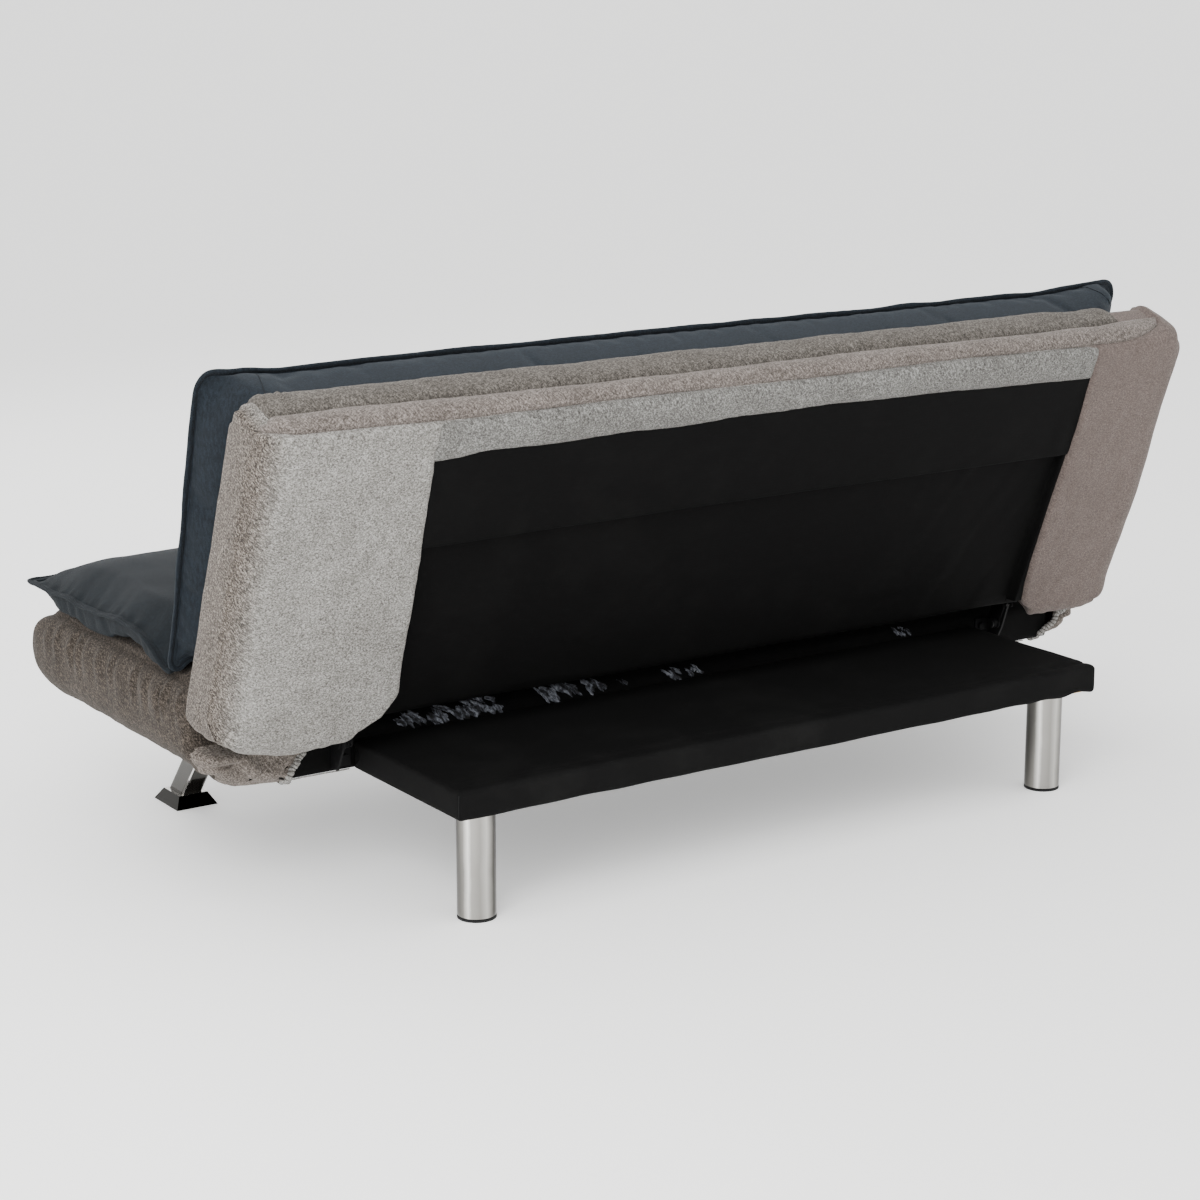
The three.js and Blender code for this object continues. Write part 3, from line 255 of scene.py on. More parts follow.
def chromed(name, streaks, metallic=1.0, low=0.05, high=0.13, relief=1.0):
    """Chrome plate over a drawn tube, with painted reflections: lengthwise streaks, as a room's dark and bright sides
    would reflect in it, are painted into its colour.

    streaks gives a painted reflection tone for each compass direction that the surface can face; faces that point up
    get a painted bright reflection.
    """
    n = Nodes(name)
    smudges = n.noise(n.place((1, 1, 0.6)), 26, 4, 0.6, 0.3)
    lines = n.noise(n.place((1, 1, 0.02)), 900, 2, 0.5)
    geometry = n.add("ShaderNodeNewGeometry")
    split = n.add("ShaderNodeSeparateXYZ")
    n.link(geometry.outputs["Normal"], split.inputs[0])
    # Painted reflections: the compass direction a face points picks its tone from streaks, and the smudges noise
    # wobbles the tones' edges.
    facing = n.math("ARCTAN2", split.outputs[1], split.outputs[0])
    facing = n.math("ADD", n.math("MULTIPLY", facing, 0.5 / math.pi), 0.5)
    facing = n.math("ADD", facing, n.math("MULTIPLY", n.math("SUBTRACT", smudges, 0.5), 0.03))
    painted_reflection = n.ramp(facing, [((a + 180) / 360, (v, v - 2, v - 6)) for a, v in streaks])
    # Faces that point up are painted with a bright reflection, a painted highlight.
    up = n.math("MULTIPLY", n.math("SUBTRACT", split.outputs[2], 0.75), 8.0, True)
    tint = n.mix(up, painted_reflection, (214, 212, 208))
    tint = n.mix(n.math("MULTIPLY", smudges, 0.18), tint, (206, 203, 198), "MULTIPLY")
    rough = n.math("ADD", n.math("MULTIPLY", smudges, high - low), low)
    normal = n.bump(lines, 0.03 * relief, 0.0003, n.bump(smudges, 0.04 * relief, 0.0015))
    return n.finish(tint, rough, normal, Metallic=metallic)


def zinc(name):
    """Bright zinc-plated pressed steel with a spangle and scuffed edges."""
    n = Nodes(name)
    place = n.place()
    spangle = n.cells(place, 260)
    scratches = n.noise(n.place((1, 0.08, 1)), 700, 3, 0.6)
    colour = n.mix(spangle, (150, 153, 156), (112, 114, 118))
    rough = n.math("ADD", n.math("MULTIPLY", scratches, 0.22), 0.26)
    return n.finish(colour, rough, n.bump(scratches, 0.12, 0.0004), Metallic=0.95)


def timber(name):
    """Planed softwood: long grain with darker rings."""
    n = Nodes(name)
    along = n.place((0.25, 3.2, 3.2))
    rings = n.wave(along, 9, 5.5, 1.6, "Y", "SAW")
    grain = n.noise(n.place((0.6, 14, 14)), 30, 4, 0.65)
    colour = n.ramp(n.math("ADD", n.math("MULTIPLY", rings, 0.5), n.math("MULTIPLY", grain, 0.5)),
                    [(0.25, (158, 118, 74)), (0.5, (200, 164, 114)), (0.8, (222, 190, 142))])
    return n.finish(colour, 0.68, n.bump(grain, 0.25, 0.0006), Specular_IOR_Level=0.35)


def moulded(name, colour=(20, 20, 21)):
    """Moulded black plastic with a fine spark-eroded texture."""
    n = Nodes(name)
    grain = n.noise(n.place(), 900, 2, 0.5)
    wear = n.noise(n.place(), 30, 4, 0.6)
    tint = n.mix(n.math("MULTIPLY", wear, 0.2), colour, tuple(value + 18 for value in colour))
    return n.finish(tint, n.math("ADD", n.math("MULTIPLY", grain, 0.2), 0.5), n.bump(grain, 0.2, 0.0004),
                    Specular_IOR_Level=0.15)


def foamed(name):
    """Cut polyurethane foam: open cells and a yellowed tint."""
    n = Nodes(name)
    pores = n.cells(n.place(), 700)
    aged = n.noise(n.place(), 14, 4, 0.6)
    colour = n.mix(aged, (226, 214, 178), (206, 190, 146))
    return n.finish(colour, 0.95, n.bump(pores, 0.6, 0.0012))


def add_floor_and_lights():
    # A flat floor that curves up far away, so that no horizon shows.
    around, reach = 96, [0.0, 4, 8, 12, 16, 19, 22, 24.5, 26.5, 28, 29]
    height = [0.0, 0, 0, 0, 0, 0.25, 1.0, 2.3, 4.0, 6.0, 8.2]
    rings = [[(r * math.cos(2 * math.pi * k / around), r * math.sin(2 * math.pi * k / around), h)
              for k in range(around)] for r, h in zip(reach[1:], height[1:])]
    points = [(0.0, 0.0, 0.0)] + [p for ring in rings for p in ring]
    faces = [(0, 1 + k, 1 + (k + 1) % around) for k in range(around)]
    for i in range(len(rings) - 1):
        for k in range(around):
            a, b = 1 + i * around + k, 1 + i * around + (k + 1) % around
            faces.append((a, a + around, b + around, b))
    mesh = bpy.data.meshes.new("floor")
    mesh.from_pydata(points, [], faces)
    mesh.polygons.foreach_set("use_smooth", [True] * len(mesh.polygons))
    floor = bpy.data.objects.new("floor", mesh)
    bpy.context.scene.collection.objects.link(floor)
    n = Nodes("floor_paint")
    speckle = n.noise(n.place(), 3.0, 3, 0.5)
    n.finish(n.mix(speckle, (250, 250, 249), (247, 247, 246)), 0.75, None,
             Emission_Color=tone((255, 255, 255)), Emission_Strength=0.35)
    floor.data.materials.append(n.material)

    world = bpy.context.scene.world or bpy.data.worlds.new("world")
    bpy.context.scene.world = world
    world.use_nodes = True
    background = world.node_tree.nodes["Background"]
    background.inputs["Color"].default_value = tone((250, 250, 250))
    background.inputs["Strength"].default_value = 1.55

    def area(name, place, target, size, power, tint=(255, 255, 255)):
        data = bpy.data.lights.new(name, "AREA")
        data.shape = "RECTANGLE"
        data.size, data.size_y = size
        data.energy = power
        data.color = tone(tint)[:3]
        light = bpy.data.objects.new(name, data)
        bpy.context.scene.collection.objects.link(light)
        light.location = place
        light.rotation_euler = (Vector(target) - Vector(place)).to_track_quat("-Z", "Y").to_euler()
        light.visible_camera = False

    area("key_light", (2.6, 2.3, 2.3), (0.5, 0.3, 0.4), (2.0, 2.0), 130)
    area("top_light", (0.4, 0.6, 3.4), (0, 0.1, 0.4), (3.6, 2.6), 30)
    area("fill_light", (-3.2, 2.6, 1.6), (-0.3, 0.2, 0.4), (2.4, 2.0), 12)
    area("front_light", (0.5, -3.6, 2.4), (0, 0, 0.4), (3.4, 2.0), 60)


# ---- Meshes

def add_piece(name, points, faces, materials, body, node=None, face_slots=None):
    """Makes a smooth mesh piece from points in metres, and lets it ride on a CAD body."""
    mesh = bpy.data.meshes.new(name)
    mesh.from_pydata(np.asarray(points, float).reshape(-1, 3).tolist(), [], [list(map(int, f)) for f in faces])
    mesh.update()
    for material in materials:
        mesh.materials.append(material)
    mesh.polygons.foreach_set("use_smooth", [True] * len(mesh.polygons))
    if face_slots is not None:
        mesh.polygons.foreach_set("material_index", [int(i) for i in face_slots])
    obj = bpy.data.objects.new(name, mesh)
    bpy.context.scene.collection.objects.link(obj)
    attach(obj, body)
    if node:
        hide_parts(*([node] if isinstance(node, str) else node))
    return obj


def grid_faces(rows, columns, close=False, flip=False, keep=None):
    """Quads of a rows by columns grid; close joins the last column to the first."""
    faces = []
    for i in range(rows - 1):
        for j in range(columns if close else columns - 1):
            if keep is not None and not keep[i, j]:
                continue
            k = (j + 1) % columns
            face = (i * columns + j, i * columns + k, (i + 1) * columns + k, (i + 1) * columns + j)
            faces.append(face[::-1] if flip else face)
    return faces


def backrest(points):
    """Points in the backrest's own frame, mm from the hinge, in the part's frame in metres."""
    p = np.asarray(points, float)
    c, s = math.cos(REST), math.sin(REST)
    x, y, z = p[..., 0], p[..., 1], p[..., 2]
    return np.stack([x, HINGE[0] + c * y + s * z, HINGE[1] - s * y + c * z], -1) * MM


def straight(points):
    return np.asarray(points, float) * MM


def wander(x, y, size, seed):
    """Smooth noise from about -1 to 1 with features of that size."""
    rng = np.random.default_rng(seed)
    total = 0
    for _ in range(7):
        angle = rng.uniform(0, 2 * math.pi)
        turns = rng.uniform(0.5, 1.5) / size
        phase = rng.uniform(0, 2 * math.pi)
        total = total + np.sin(2 * math.pi * turns * (x * math.cos(angle) + y * math.sin(angle)) + phase)
    return total / 3.2


def bell(value, width):
    return np.exp(-(np.asarray(value, float) / width) ** 2)


def ease(value, start, end):
    t = np.clip((np.asarray(value, float) - start) / (end - start), 0, 1)
    return t * t * (3 - 2 * t)


class Loop:
    """A rounded profile in the YZ plane, anticlockwise seen from +X, followed by its length in mm."""

    def __init__(self, corners):
        points, normals = [], []
        count = len(corners)
        for i in range(count):
            before = np.array(corners[i - 1][:2], float)
            here = np.array(corners[i][:2], float)
            after = np.array(corners[(i + 1) % count][:2], float)
            radius = corners[i][2]
            into, out = here - before, after - here
            into, out = into / np.linalg.norm(into), out / np.linalg.norm(out)
            turn = math.atan2(into[0] * out[1] - into[1] * out[0], into @ out)
            reach = radius * math.tan(abs(turn) / 2)
            start_n = np.array([into[1], -into[0]])
            centre = here - into * reach - start_n * radius * np.sign(turn)
            steps = max(2, int(abs(turn) / math.radians(9)))
            for k in range(steps + 1):
                a = turn * k / steps
                n = np.array([math.cos(a) * start_n[0] - math.sin(a) * start_n[1],
                              math.sin(a) * start_n[0] + math.cos(a) * start_n[1]])
                points.append(centre + n * radius * np.sign(turn))
                normals.append(n)
        points.append(points[0])
        normals.append(normals[0])
        self.points = np.array(points)
        self.normals = np.array(normals)
        steps = np.linalg.norm(np.diff(self.points, axis=0), axis=1)
        self.lengths = np.concatenate([[0], np.cumsum(np.maximum(steps, 1e-6))])
        self.length = self.lengths[-1]

    def at(self, s):
        s = np.mod(s, self.length)
        point = np.stack([np.interp(s, self.lengths, self.points[:, i]) for i in (0, 1)], -1)
        normal = np.stack([np.interp(s, self.lengths, self.normals[:, i]) for i in (0, 1)], -1)
        return point, normal / np.linalg.norm(normal, axis=-1, keepdims=True)

    def nearest(self, y, z):
        s = np.linspace(0, self.length, 8000, endpoint=False)
        point, _ = self.at(s)
        return s[np.argmin(np.hypot(point[:, 0] - y, point[:, 1] - z))]


def on_body(loop, s, x, half, end_round):
    """A point and its normal on a long upholstered body with rounded ends."""
    s, x = np.broadcast_arrays(np.asarray(s, float), np.asarray(x, float))
    point, normal = loop.at(s)
    edge = half - end_round
    lean = np.arcsin(np.clip((np.abs(x) - edge) / end_round, 0, 1))
    inset = end_round * (1 - np.cos(lean))
    at = np.concatenate([x[..., None], point - normal * inset[..., None]], -1)
    n = np.concatenate([(np.sin(lean) * np.sign(x))[..., None], normal * np.cos(lean)[..., None]], -1)
    return at, n


def round_corner(points, axes, corner, reach):
    """Turns a square corner, seen along the third axis, into part of an ellipse. reach points out of the body."""
    i, k = axes
    u = np.maximum((points[..., i] - corner[0]) / reach[0] + 1, 0)
    v = np.maximum((points[..., k] - corner[1]) / reach[1] + 1, 0)
    both = (u > 0) & (v > 0)
    shrink = np.where(both, np.maximum(u, v) / np.maximum(np.hypot(u, v), 1e-9), 1)
    points[..., i] = np.where(both, corner[0] + reach[0] * (u * shrink - 1), points[..., i])
    points[..., k] = np.where(both, corner[1] + reach[1] * (v * shrink - 1), points[..., k])


def long_body(loop, stations, half, end_round, minus, plus, inner, outer, spine, bulge, caps=14):
    """A body lofted along X. minus and plus give the x of the hems at each station of the profile.

    Returns points and normals as columns by stations, and the indices of the two hem columns: the columns run from the
    middle of the left end cap, over the end, to the left hem, across to the right hem, and on to the right cap.
    """
    s = np.asarray(stations, float)
    edge = half - end_round
    near = [0, 1.0, 2.6, 5, 8, 12, 18]

    def end(border, side):
        made = []
        for d in near:
            made.append(border + side * d)
        first = border + side * near[-1]
        for k in range(1, outer + 1):
            made.append(first + (side * edge - first) * k / outer)
        for k in range(1, 8):
            made.append(np.full_like(s, side * (edge + end_round * math.sin(math.pi / 2 * k / 7))))
        return made

    left, right = end(minus, -1), end(plus, 1)
    middle = [minus + (plus - minus) * k / inner for k in range(1, inner)]
    body = left[::-1] + middle + right
    points, normals = [], []
    for x in body:
        p, n = on_body(loop, s, x, half, end_round)
        points.append(p)
        normals.append(n)

    def cap(rim, side):
        a, b = (np.array(q, float) for q in spine)
        along = np.clip(((rim[:, 1:] - a) @ (b - a)) / ((b - a) @ (b - a)), 0, 1)
        centre = a + along[:, None] * (b - a)
        made = []
        for k in range(1, caps + 1):
            w = k / caps
            p = rim.copy()
            p[:, 1:] = rim[:, 1:] + (centre - rim[:, 1:]) * w
            p[:, 0] = side * (half + bulge * (1 - (1 - w) ** 2))
            made.append(p)
        return made

    left_cap, right_cap = cap(points[0], -1), cap(points[-1], 1)
    flat = [np.tile([side, 0.0, 0.0], (len(s), 1)) for side in (-1, 1)]
    points = left_cap[::-1] + points + right_cap
    normals = [flat[0]] * caps + normals + [flat[1]] * caps
    first_hem = caps + len(left) - 1
    last_hem = caps + len(left) - 1 + inner
    return np.array(points), np.array(normals), first_hem, last_hem


def pillow(loop, half, end_round, xs, low, high, rise, tuck, soften, steps=16, end_soft=None):
    """A sewn panel on a body: puffed in the middle, with its edges tucked into the seams."""
    b = 0.5 - 0.5 * np.cos(np.linspace(0, math.pi, steps))
    x = np.asarray(xs, float)[:, None] + 0 * b[None, :]
    low, high = np.asarray(low, float)[:, None], np.asarray(high, float)[:, None]
    s = low + (high - low) * b[None, :]
    gap = np.minimum(s - low, high - s)
    if end_soft is not None:
        gap = np.minimum(gap, np.minimum(x - min(xs), max(xs) - x) * end_soft)
    lift = -tuck + (rise + tuck) * (1 - np.exp(-gap / soften))
    return s, x, lift, on_body(loop, s, x, half, end_round(s))


# ---- Materials

# One grey chenille in copies toned per region as painted light and shade: the seat's sides and the crown's front strip
# are painted shaded, and the seat's rear folds, the band and the rear strip are painted lighter.
GREY_WRAP = chenille("grey_wrap_chenille", (162, 161, 157), (122, 120, 116), (72, 69, 65), ends=True)
GREY_SIDE_SHADED = chenille("grey_side_shaded_chenille", (92, 83, 75), (52, 46, 40), (20, 16, 13), (0.9, 0.3, 0), 0.06)
GREY_FOLD = chenille("grey_fold_chenille", (138, 130, 123), (98, 91, 85), (54, 48, 43), (0.3, 0.6, 0))
GREY_BAND = chenille("grey_band_chenille", (140, 140, 137), (101, 100, 97), (58, 56, 54), (0.5, 0.3, 0))
GREY_STRIP = chenille("grey_strip_chenille", (136, 128, 123), (98, 91, 86), (58, 52, 48), (0.5, 0.7, 0))
GREY_TOP_SHADED = chenille("grey_top_shaded_chenille", (116, 111, 105), (80, 76, 71), (46, 42, 38), (0.5, 0.5, 0), 0.1)
BLUE = twill("blue_twill", (32, 40, 48), (21, 27, 33), (12, 16, 20))
BLUE_THREAD = twill("blue_thread", (17, 21, 27), (11, 14, 18), (7, 9, 12))
# The seat pad's copy of the blue twill is painted darker, with less sheen: painted shade on its top.
BLUE_SEAT_SHADED = twill("blue_seat_shaded_twill", (24, 31, 36), (16, 21, 25), (9, 12, 15), 0.03)
HEM_YARN = twill("hem_yarn", (176, 173, 168), (134, 131, 126), (84, 81, 77))
BLACK = nonwoven("black_lining_cloth", (4, 4, 4), (18, 18, 17))
BLACK_TOP = nonwoven("black_platform_cloth", (9, 9, 9), (30, 30, 29))
DARK_THREAD = twill("dark_thread", (62, 58, 54), (42, 39, 36), (24, 22, 20))
PALE_THREAD = twill("pale_thread", (196, 194, 190), (150, 148, 144), (88, 86, 83))
CHROME = chromed("chrome_plate", ROUND_PAINTED_REFLECTION)
LEG_CHROME = chromed("leg_chrome_plate", SQUARE_PAINTED_REFLECTION, 0.86, relief=0.2)
FOOT_CHROME = chromed("foot_chrome_plate", FOOT_PAINTED_REFLECTION, 0.9, relief=0.2)
STEEL = zinc("zinc_steel")
TIMBER = timber("planed_timber")
PLASTIC = moulded("black_plastic")
FOAM = foamed("cut_foam")
BLACK_STEEL = moulded("black_painted_steel", (5, 5, 6))


# ---- Backrest cover

BACK_FRONT, BACK_REAR, BACK_FOOT, BACK_TOP = -65, 54, -31, 540
BACK_LOOP = Loop([(BACK_REAR, BACK_FOOT, 26), (BACK_REAR, BACK_TOP, 36),
                  (BACK_FRONT, BACK_TOP, 30), (BACK_FRONT, BACK_FOOT, 26)])
RECESS = 26  # how far the rear lining lies in from the wraps


def back_round(s):
    """How far the ends are rounded, at each place of the profile."""
    at = BACK_LOOP.nearest
    places = [0, at(BACK_REAR, 30), at(BACK_REAR, 480), at(0, BACK_TOP), at(BACK_FRONT, 480), at(BACK_FRONT, 20),
              at(-30, BACK_FOOT), BACK_LOOP.length]
    return np.interp(np.mod(s, BACK_LOOP.length), places, [30, 48, 44, 28, 14, 14, 22, 30])


def shape_back(points):
    """Draws the ends of the backrest in and rounds their corners; points are in the backrest's frame."""
    x, z = points[..., 0], points[..., 2]
    left = np.interp(z, [0, 213, 280, 356, 438, 540], [869, 867, 863, 856, 850, 846])
    share = np.where(x < 0, (left - 640) / 263, (908 - 640) / 263)
    points[..., 0] = np.where(np.abs(x) > 640, np.sign(x) * (640 + (np.abs(x) - 640) * share), x)
    x, z = points[..., 0], points[..., 2].copy()
    front = ease(-points[..., 1], 0, 60)
    points[..., 1] -= 12 * ease(x, 846, 900) * front
    round_corner(points, (0, 2), (-854, BACK_TOP + 2), (-62, 56))
    round_corner(points, (0, 2), (-876, BACK_FOOT - 2), (-76, -40))
    round_corner(points, (0, 2), (908, BACK_TOP + 2), (34, 30))
    round_corner(points, (0, 2), (908, BACK_FOOT - 2), (64, -30))
    # At the right the foot hangs lower in front than behind.
    foot = 1 - ease(z, BACK_FOOT, 70)
    behind, before = ease(points[..., 1], -10, 30), 1 - ease(points[..., 1], -50, -5)
    points[..., 2] += foot * (14 * ease(x, 770, 900) * behind - 10 * ease(x, 800, 860) * before - 6 * bell(x - 780, 60))
    return points


HEM_ROUND = 9


def back_cover():
    loop = BACK_LOOP
    at = loop.nearest
    bottom_front = at(-38, BACK_FOOT) - loop.length
    window_top = at(BACK_REAR, 482)
    rear_low, rear_high = at(BACK_REAR, 6), at(BACK_REAR, 482)
    crown_end = at(BACK_FRONT, 480)
    stations = np.concatenate([
        np.linspace(bottom_front, rear_low, 22, endpoint=False),
        np.linspace(rear_low, rear_high, 60, endpoint=False),
        np.linspace(rear_high, crown_end, 52, endpoint=False),
        np.linspace(crown_end, at(BACK_FRONT, 0), 24, endpoint=False),
        np.linspace(at(BACK_FRONT, 0), bottom_front + loop.length, 10, endpoint=False),
    ])
    marks = [bottom_front, at(20, BACK_FOOT) - loop.length, at(48, -22), at(BACK_REAR, -6), at(BACK_REAR, 3),
             at(BACK_REAR, 14), at(BACK_REAR, 50), at(BACK_REAR, 98), at(BACK_REAR, 230), at(BACK_REAR, 375),
             at(BACK_REAR, 461), at(BACK_REAR, 500)]
    plus = np.interp(stations, marks, [706, 692, 680, 674, 658, 636, 613, 618, 622, 628, 631, 634])
    minus = -np.interp(stations, marks, [716, 702, 687, 680, 662, 652, 645, 641, 639, 640, 633, 631])
    # The hem's return is short beside the brackets' plates.
    short = np.interp(stations, [marks[1], marks[2], at(BACK_REAR, 12), at(BACK_REAR, 34)], [1, 0.3, 0.3, 1])
    points, normals, first, last = long_body(loop, stations, HALF, back_round(stations), minus, plus, 40, 34,
                                             [(-5, 30), (-5, 480)], 3)
    rows = len(points)
    x = points[..., 0]
    s = np.broadcast_to(stations, x.shape)

    # The panels' places are sunk a little, so that the panels lie flush with a seam round them.
    rear_seam, _ = seams(x)
    over = np.minimum(s - rear_seam, at(BACK_FRONT, 512) + 20 - s)
    over = np.where((x > MINUS_TIP) & (x < PLUS_TIP), over, -30)
    band = np.minimum(np.minimum(s - at(BACK_REAR, 455), rear_seam + 4 - s), np.minimum(x - BAND_MINUS, BAND_PLUS - x))
    sunk = 8 * ease(np.maximum(over, band), -9, 5)

    # The hem round the window rolls inwards.
    window = (stations >= bottom_front) & (stations <= window_top)
    from_hem = np.where(x > 0, x - plus[None, :], minus[None, :] - x)
    roll = HEM_ROUND - np.sqrt(np.maximum(HEM_ROUND ** 2 - np.clip(HEM_ROUND - from_hem, 0, HEM_ROUND) ** 2, 0))
    roll = np.where(window[None, :] & (from_hem >= -1e-6), roll, 0)

    # Soft wandering in the foam's surface, and slight creases near the hems and the foot.
    y, z = points[..., 1], points[..., 2]
    outer = ease(np.abs(x), 560, 700)
    soft = 1.5 * wander(x + y, z, 210, 3) + 0.5 * wander(x * 1.2 - y, z, 55, 4)
    creases = 0.9 * wander(x + 0.6 * z, z * 0.25 + y, 34, 5) * bell(z + 6, 46) * outer
    tension = 0.8 * wander(z, x * 0.15, 26, 8) * bell(from_hem - 16, 20) * ease(z, -20, 40)
    lift = -sunk - roll + (soft + creases + tension) * (1 - ease(sunk, 0, 3) * 0.7)
    points = points + normals * lift[..., None]

    count = len(stations)
    keep = np.ones((rows - 1, count), bool)
    for i in range(first, last):
        keep[i, :] = ~(window & np.roll(window, -1))
    faces = grid_faces(rows, count, close=True, keep=keep)
    flat = points.reshape(-1, 3).tolist()

    # The hems' returns into the recess.
    inside = np.flatnonzero(window)
    for column, side in ((first, -1), (last, 1)):
        previous = [column * count + k for k in inside]
        for depth, shift in ((4, 0.4), (12, 0.8), (RECESS - 2, 1.0), (RECESS + 6, 4.0)):
            made = []
            for k in inside:
                p = points[column, k] - normals[column, k] * depth * short[k]
                p = p + np.array([side * shift, 0, 0])
                made.append(len(flat))
                flat.append(p.tolist())
            for a in range(len(inside) - 1):
                face = (previous[a], previous[a + 1], made[a + 1], made[a])
                faces.append(face if side < 0 else face[::-1])
            previous = made
    cover = add_piece("back_cover_wraps", backrest(shape_back(np.array(flat))), faces, [GREY_WRAP], "backrest",
                      ("back_cover", "back_foam"))
    return cover


PLUS_TIP, MINUS_TIP = 900, -846  # where the rear strip of the crown ends
BAND_PLUS, BAND_MINUS = 630, -628


def seams(x):
    """Where the crown's rear and front seams lie on the profile, at each x."""
    at = BACK_LOOP.nearest
    middle, front = at(45, 528), at(0, BACK_TOP)
    rise = np.where(x > 0, (x - 846) / (PLUS_TIP - 846), (-x - 676) / (-MINUS_TIP - 676))
    rise = np.clip(rise, 0, 1)
    drift = 4 * wander(x, 0 * x, 420, 12)
    front_line = front + drift + 9 * ease(-x, 640, 806)
    rear_line = middle + 2.5 * wander(x, 0 * x, 500, 13)
    return front_line + (rear_line - front_line) * np.sqrt(np.maximum(1 - rise ** 2.4, 0)), front_line


def crown_panels():
    loop = BACK_LOOP
    at = loop.nearest

    def spread(a, b, steps, ends=9):
        x = np.linspace(a, b, steps)
        u = np.linspace(0, math.pi / 2, ends)
        head = a + (x[1] - a) * (1 - np.cos(u))
        tail = b - (b - x[-2]) * (1 - np.cos(u))
        return np.concatenate([head, x[2:-2], tail[::-1]])

    # Rear strip, with rounded tips.
    u = np.linspace(-math.pi / 2, math.pi / 2, 260)
    xs = (PLUS_TIP + MINUS_TIP) / 2 + (PLUS_TIP - MINUS_TIP) / 2 * np.sin(u)
    rear, front = seams(xs)
    s, x, lift, (p, n) = pillow(loop, HALF, back_round, xs, rear, front, 1.8, 8, 7.5, 18)
    lift = lift + 0.9 * wander(x, s, 120, 21) + 0.35 * wander(x, s * 2, 30, 22)
    p = shape_back(p + n * lift[..., None])
    strip = add_piece("back_cover_rear_strip", backrest(p), grid_faces(*p.shape[:2], flip=True),
                      [GREY_STRIP], "backrest", None)

    # Front strip, which runs over the front edge and under the back pad, with pleats at its right end.
    xs = spread(-742, 882, 330)
    _, front = seams(xs)
    over = at(BACK_FRONT, 470)
    s, x, lift, (p, n) = pillow(loop, HALF, back_round, xs, front, over + 0 * xs, 3.2, 8, 7.5, 26, 0.9)
    pleats = 3.2 * np.sin((x - 840) / 1.35) * bell(x - 850, 13) * ease(s - front[:, None], 2, 12)
    lift = lift + pleats + 1.3 * wander(x, s, 150, 24) + 0.5 * wander(x, s * 2, 36, 25)
    p = p + n * lift[..., None]
    # A shallow hump and a dip in the front edge.
    p[..., 2] += (2.5 * bell(x + 590, 42) - 4 * bell(x + 655, 46)) * ease(-p[..., 1], 10, 60)
    p = shape_back(p)
    strip = add_piece("back_cover_front_strip", backrest(p), grid_faces(*p.shape[:2], flip=True),
                      [GREY_TOP_SHADED], "backrest", None)

    # Rear band above the lining; its lower edge bows up in the middle and rolls in.
    xs = spread(BAND_MINUS - 12, BAND_PLUS + 12, 240)
    rear, _ = seams(xs)
    bow = np.interp(xs, [-640, -342, -95, 135, 425, 640], [460, 470, 472, 468, 466, 458])
    low = at(BACK_REAR, 300) + (bow - 300)
    s, x, lift, (p, n) = pillow(loop, HALF, back_round, xs, low, rear, 1.2, 8, 7.5, 22, 0.9)
    creased = bell(x - 590, 26) + bell(x + 588, 30) + 0.6 * bell(x - 545, 10)
    creased = creased * ease(s - low[:, None], 4, 22)
    lift = lift + 1.4 * np.sin(x / 3.4 + 0.02 * s) * creased + 1.4 * wander(x, s, 170, 27)
    lift = lift + 0.4 * wander(x, s, 34, 28)
    p = p + n * lift[..., None]
    band = add_piece("back_cover_band", backrest(p), grid_faces(*p.shape[:2], flip=True),
                     [GREY_BAND], "backrest", None)


# ---- Linings on the backrest's rear

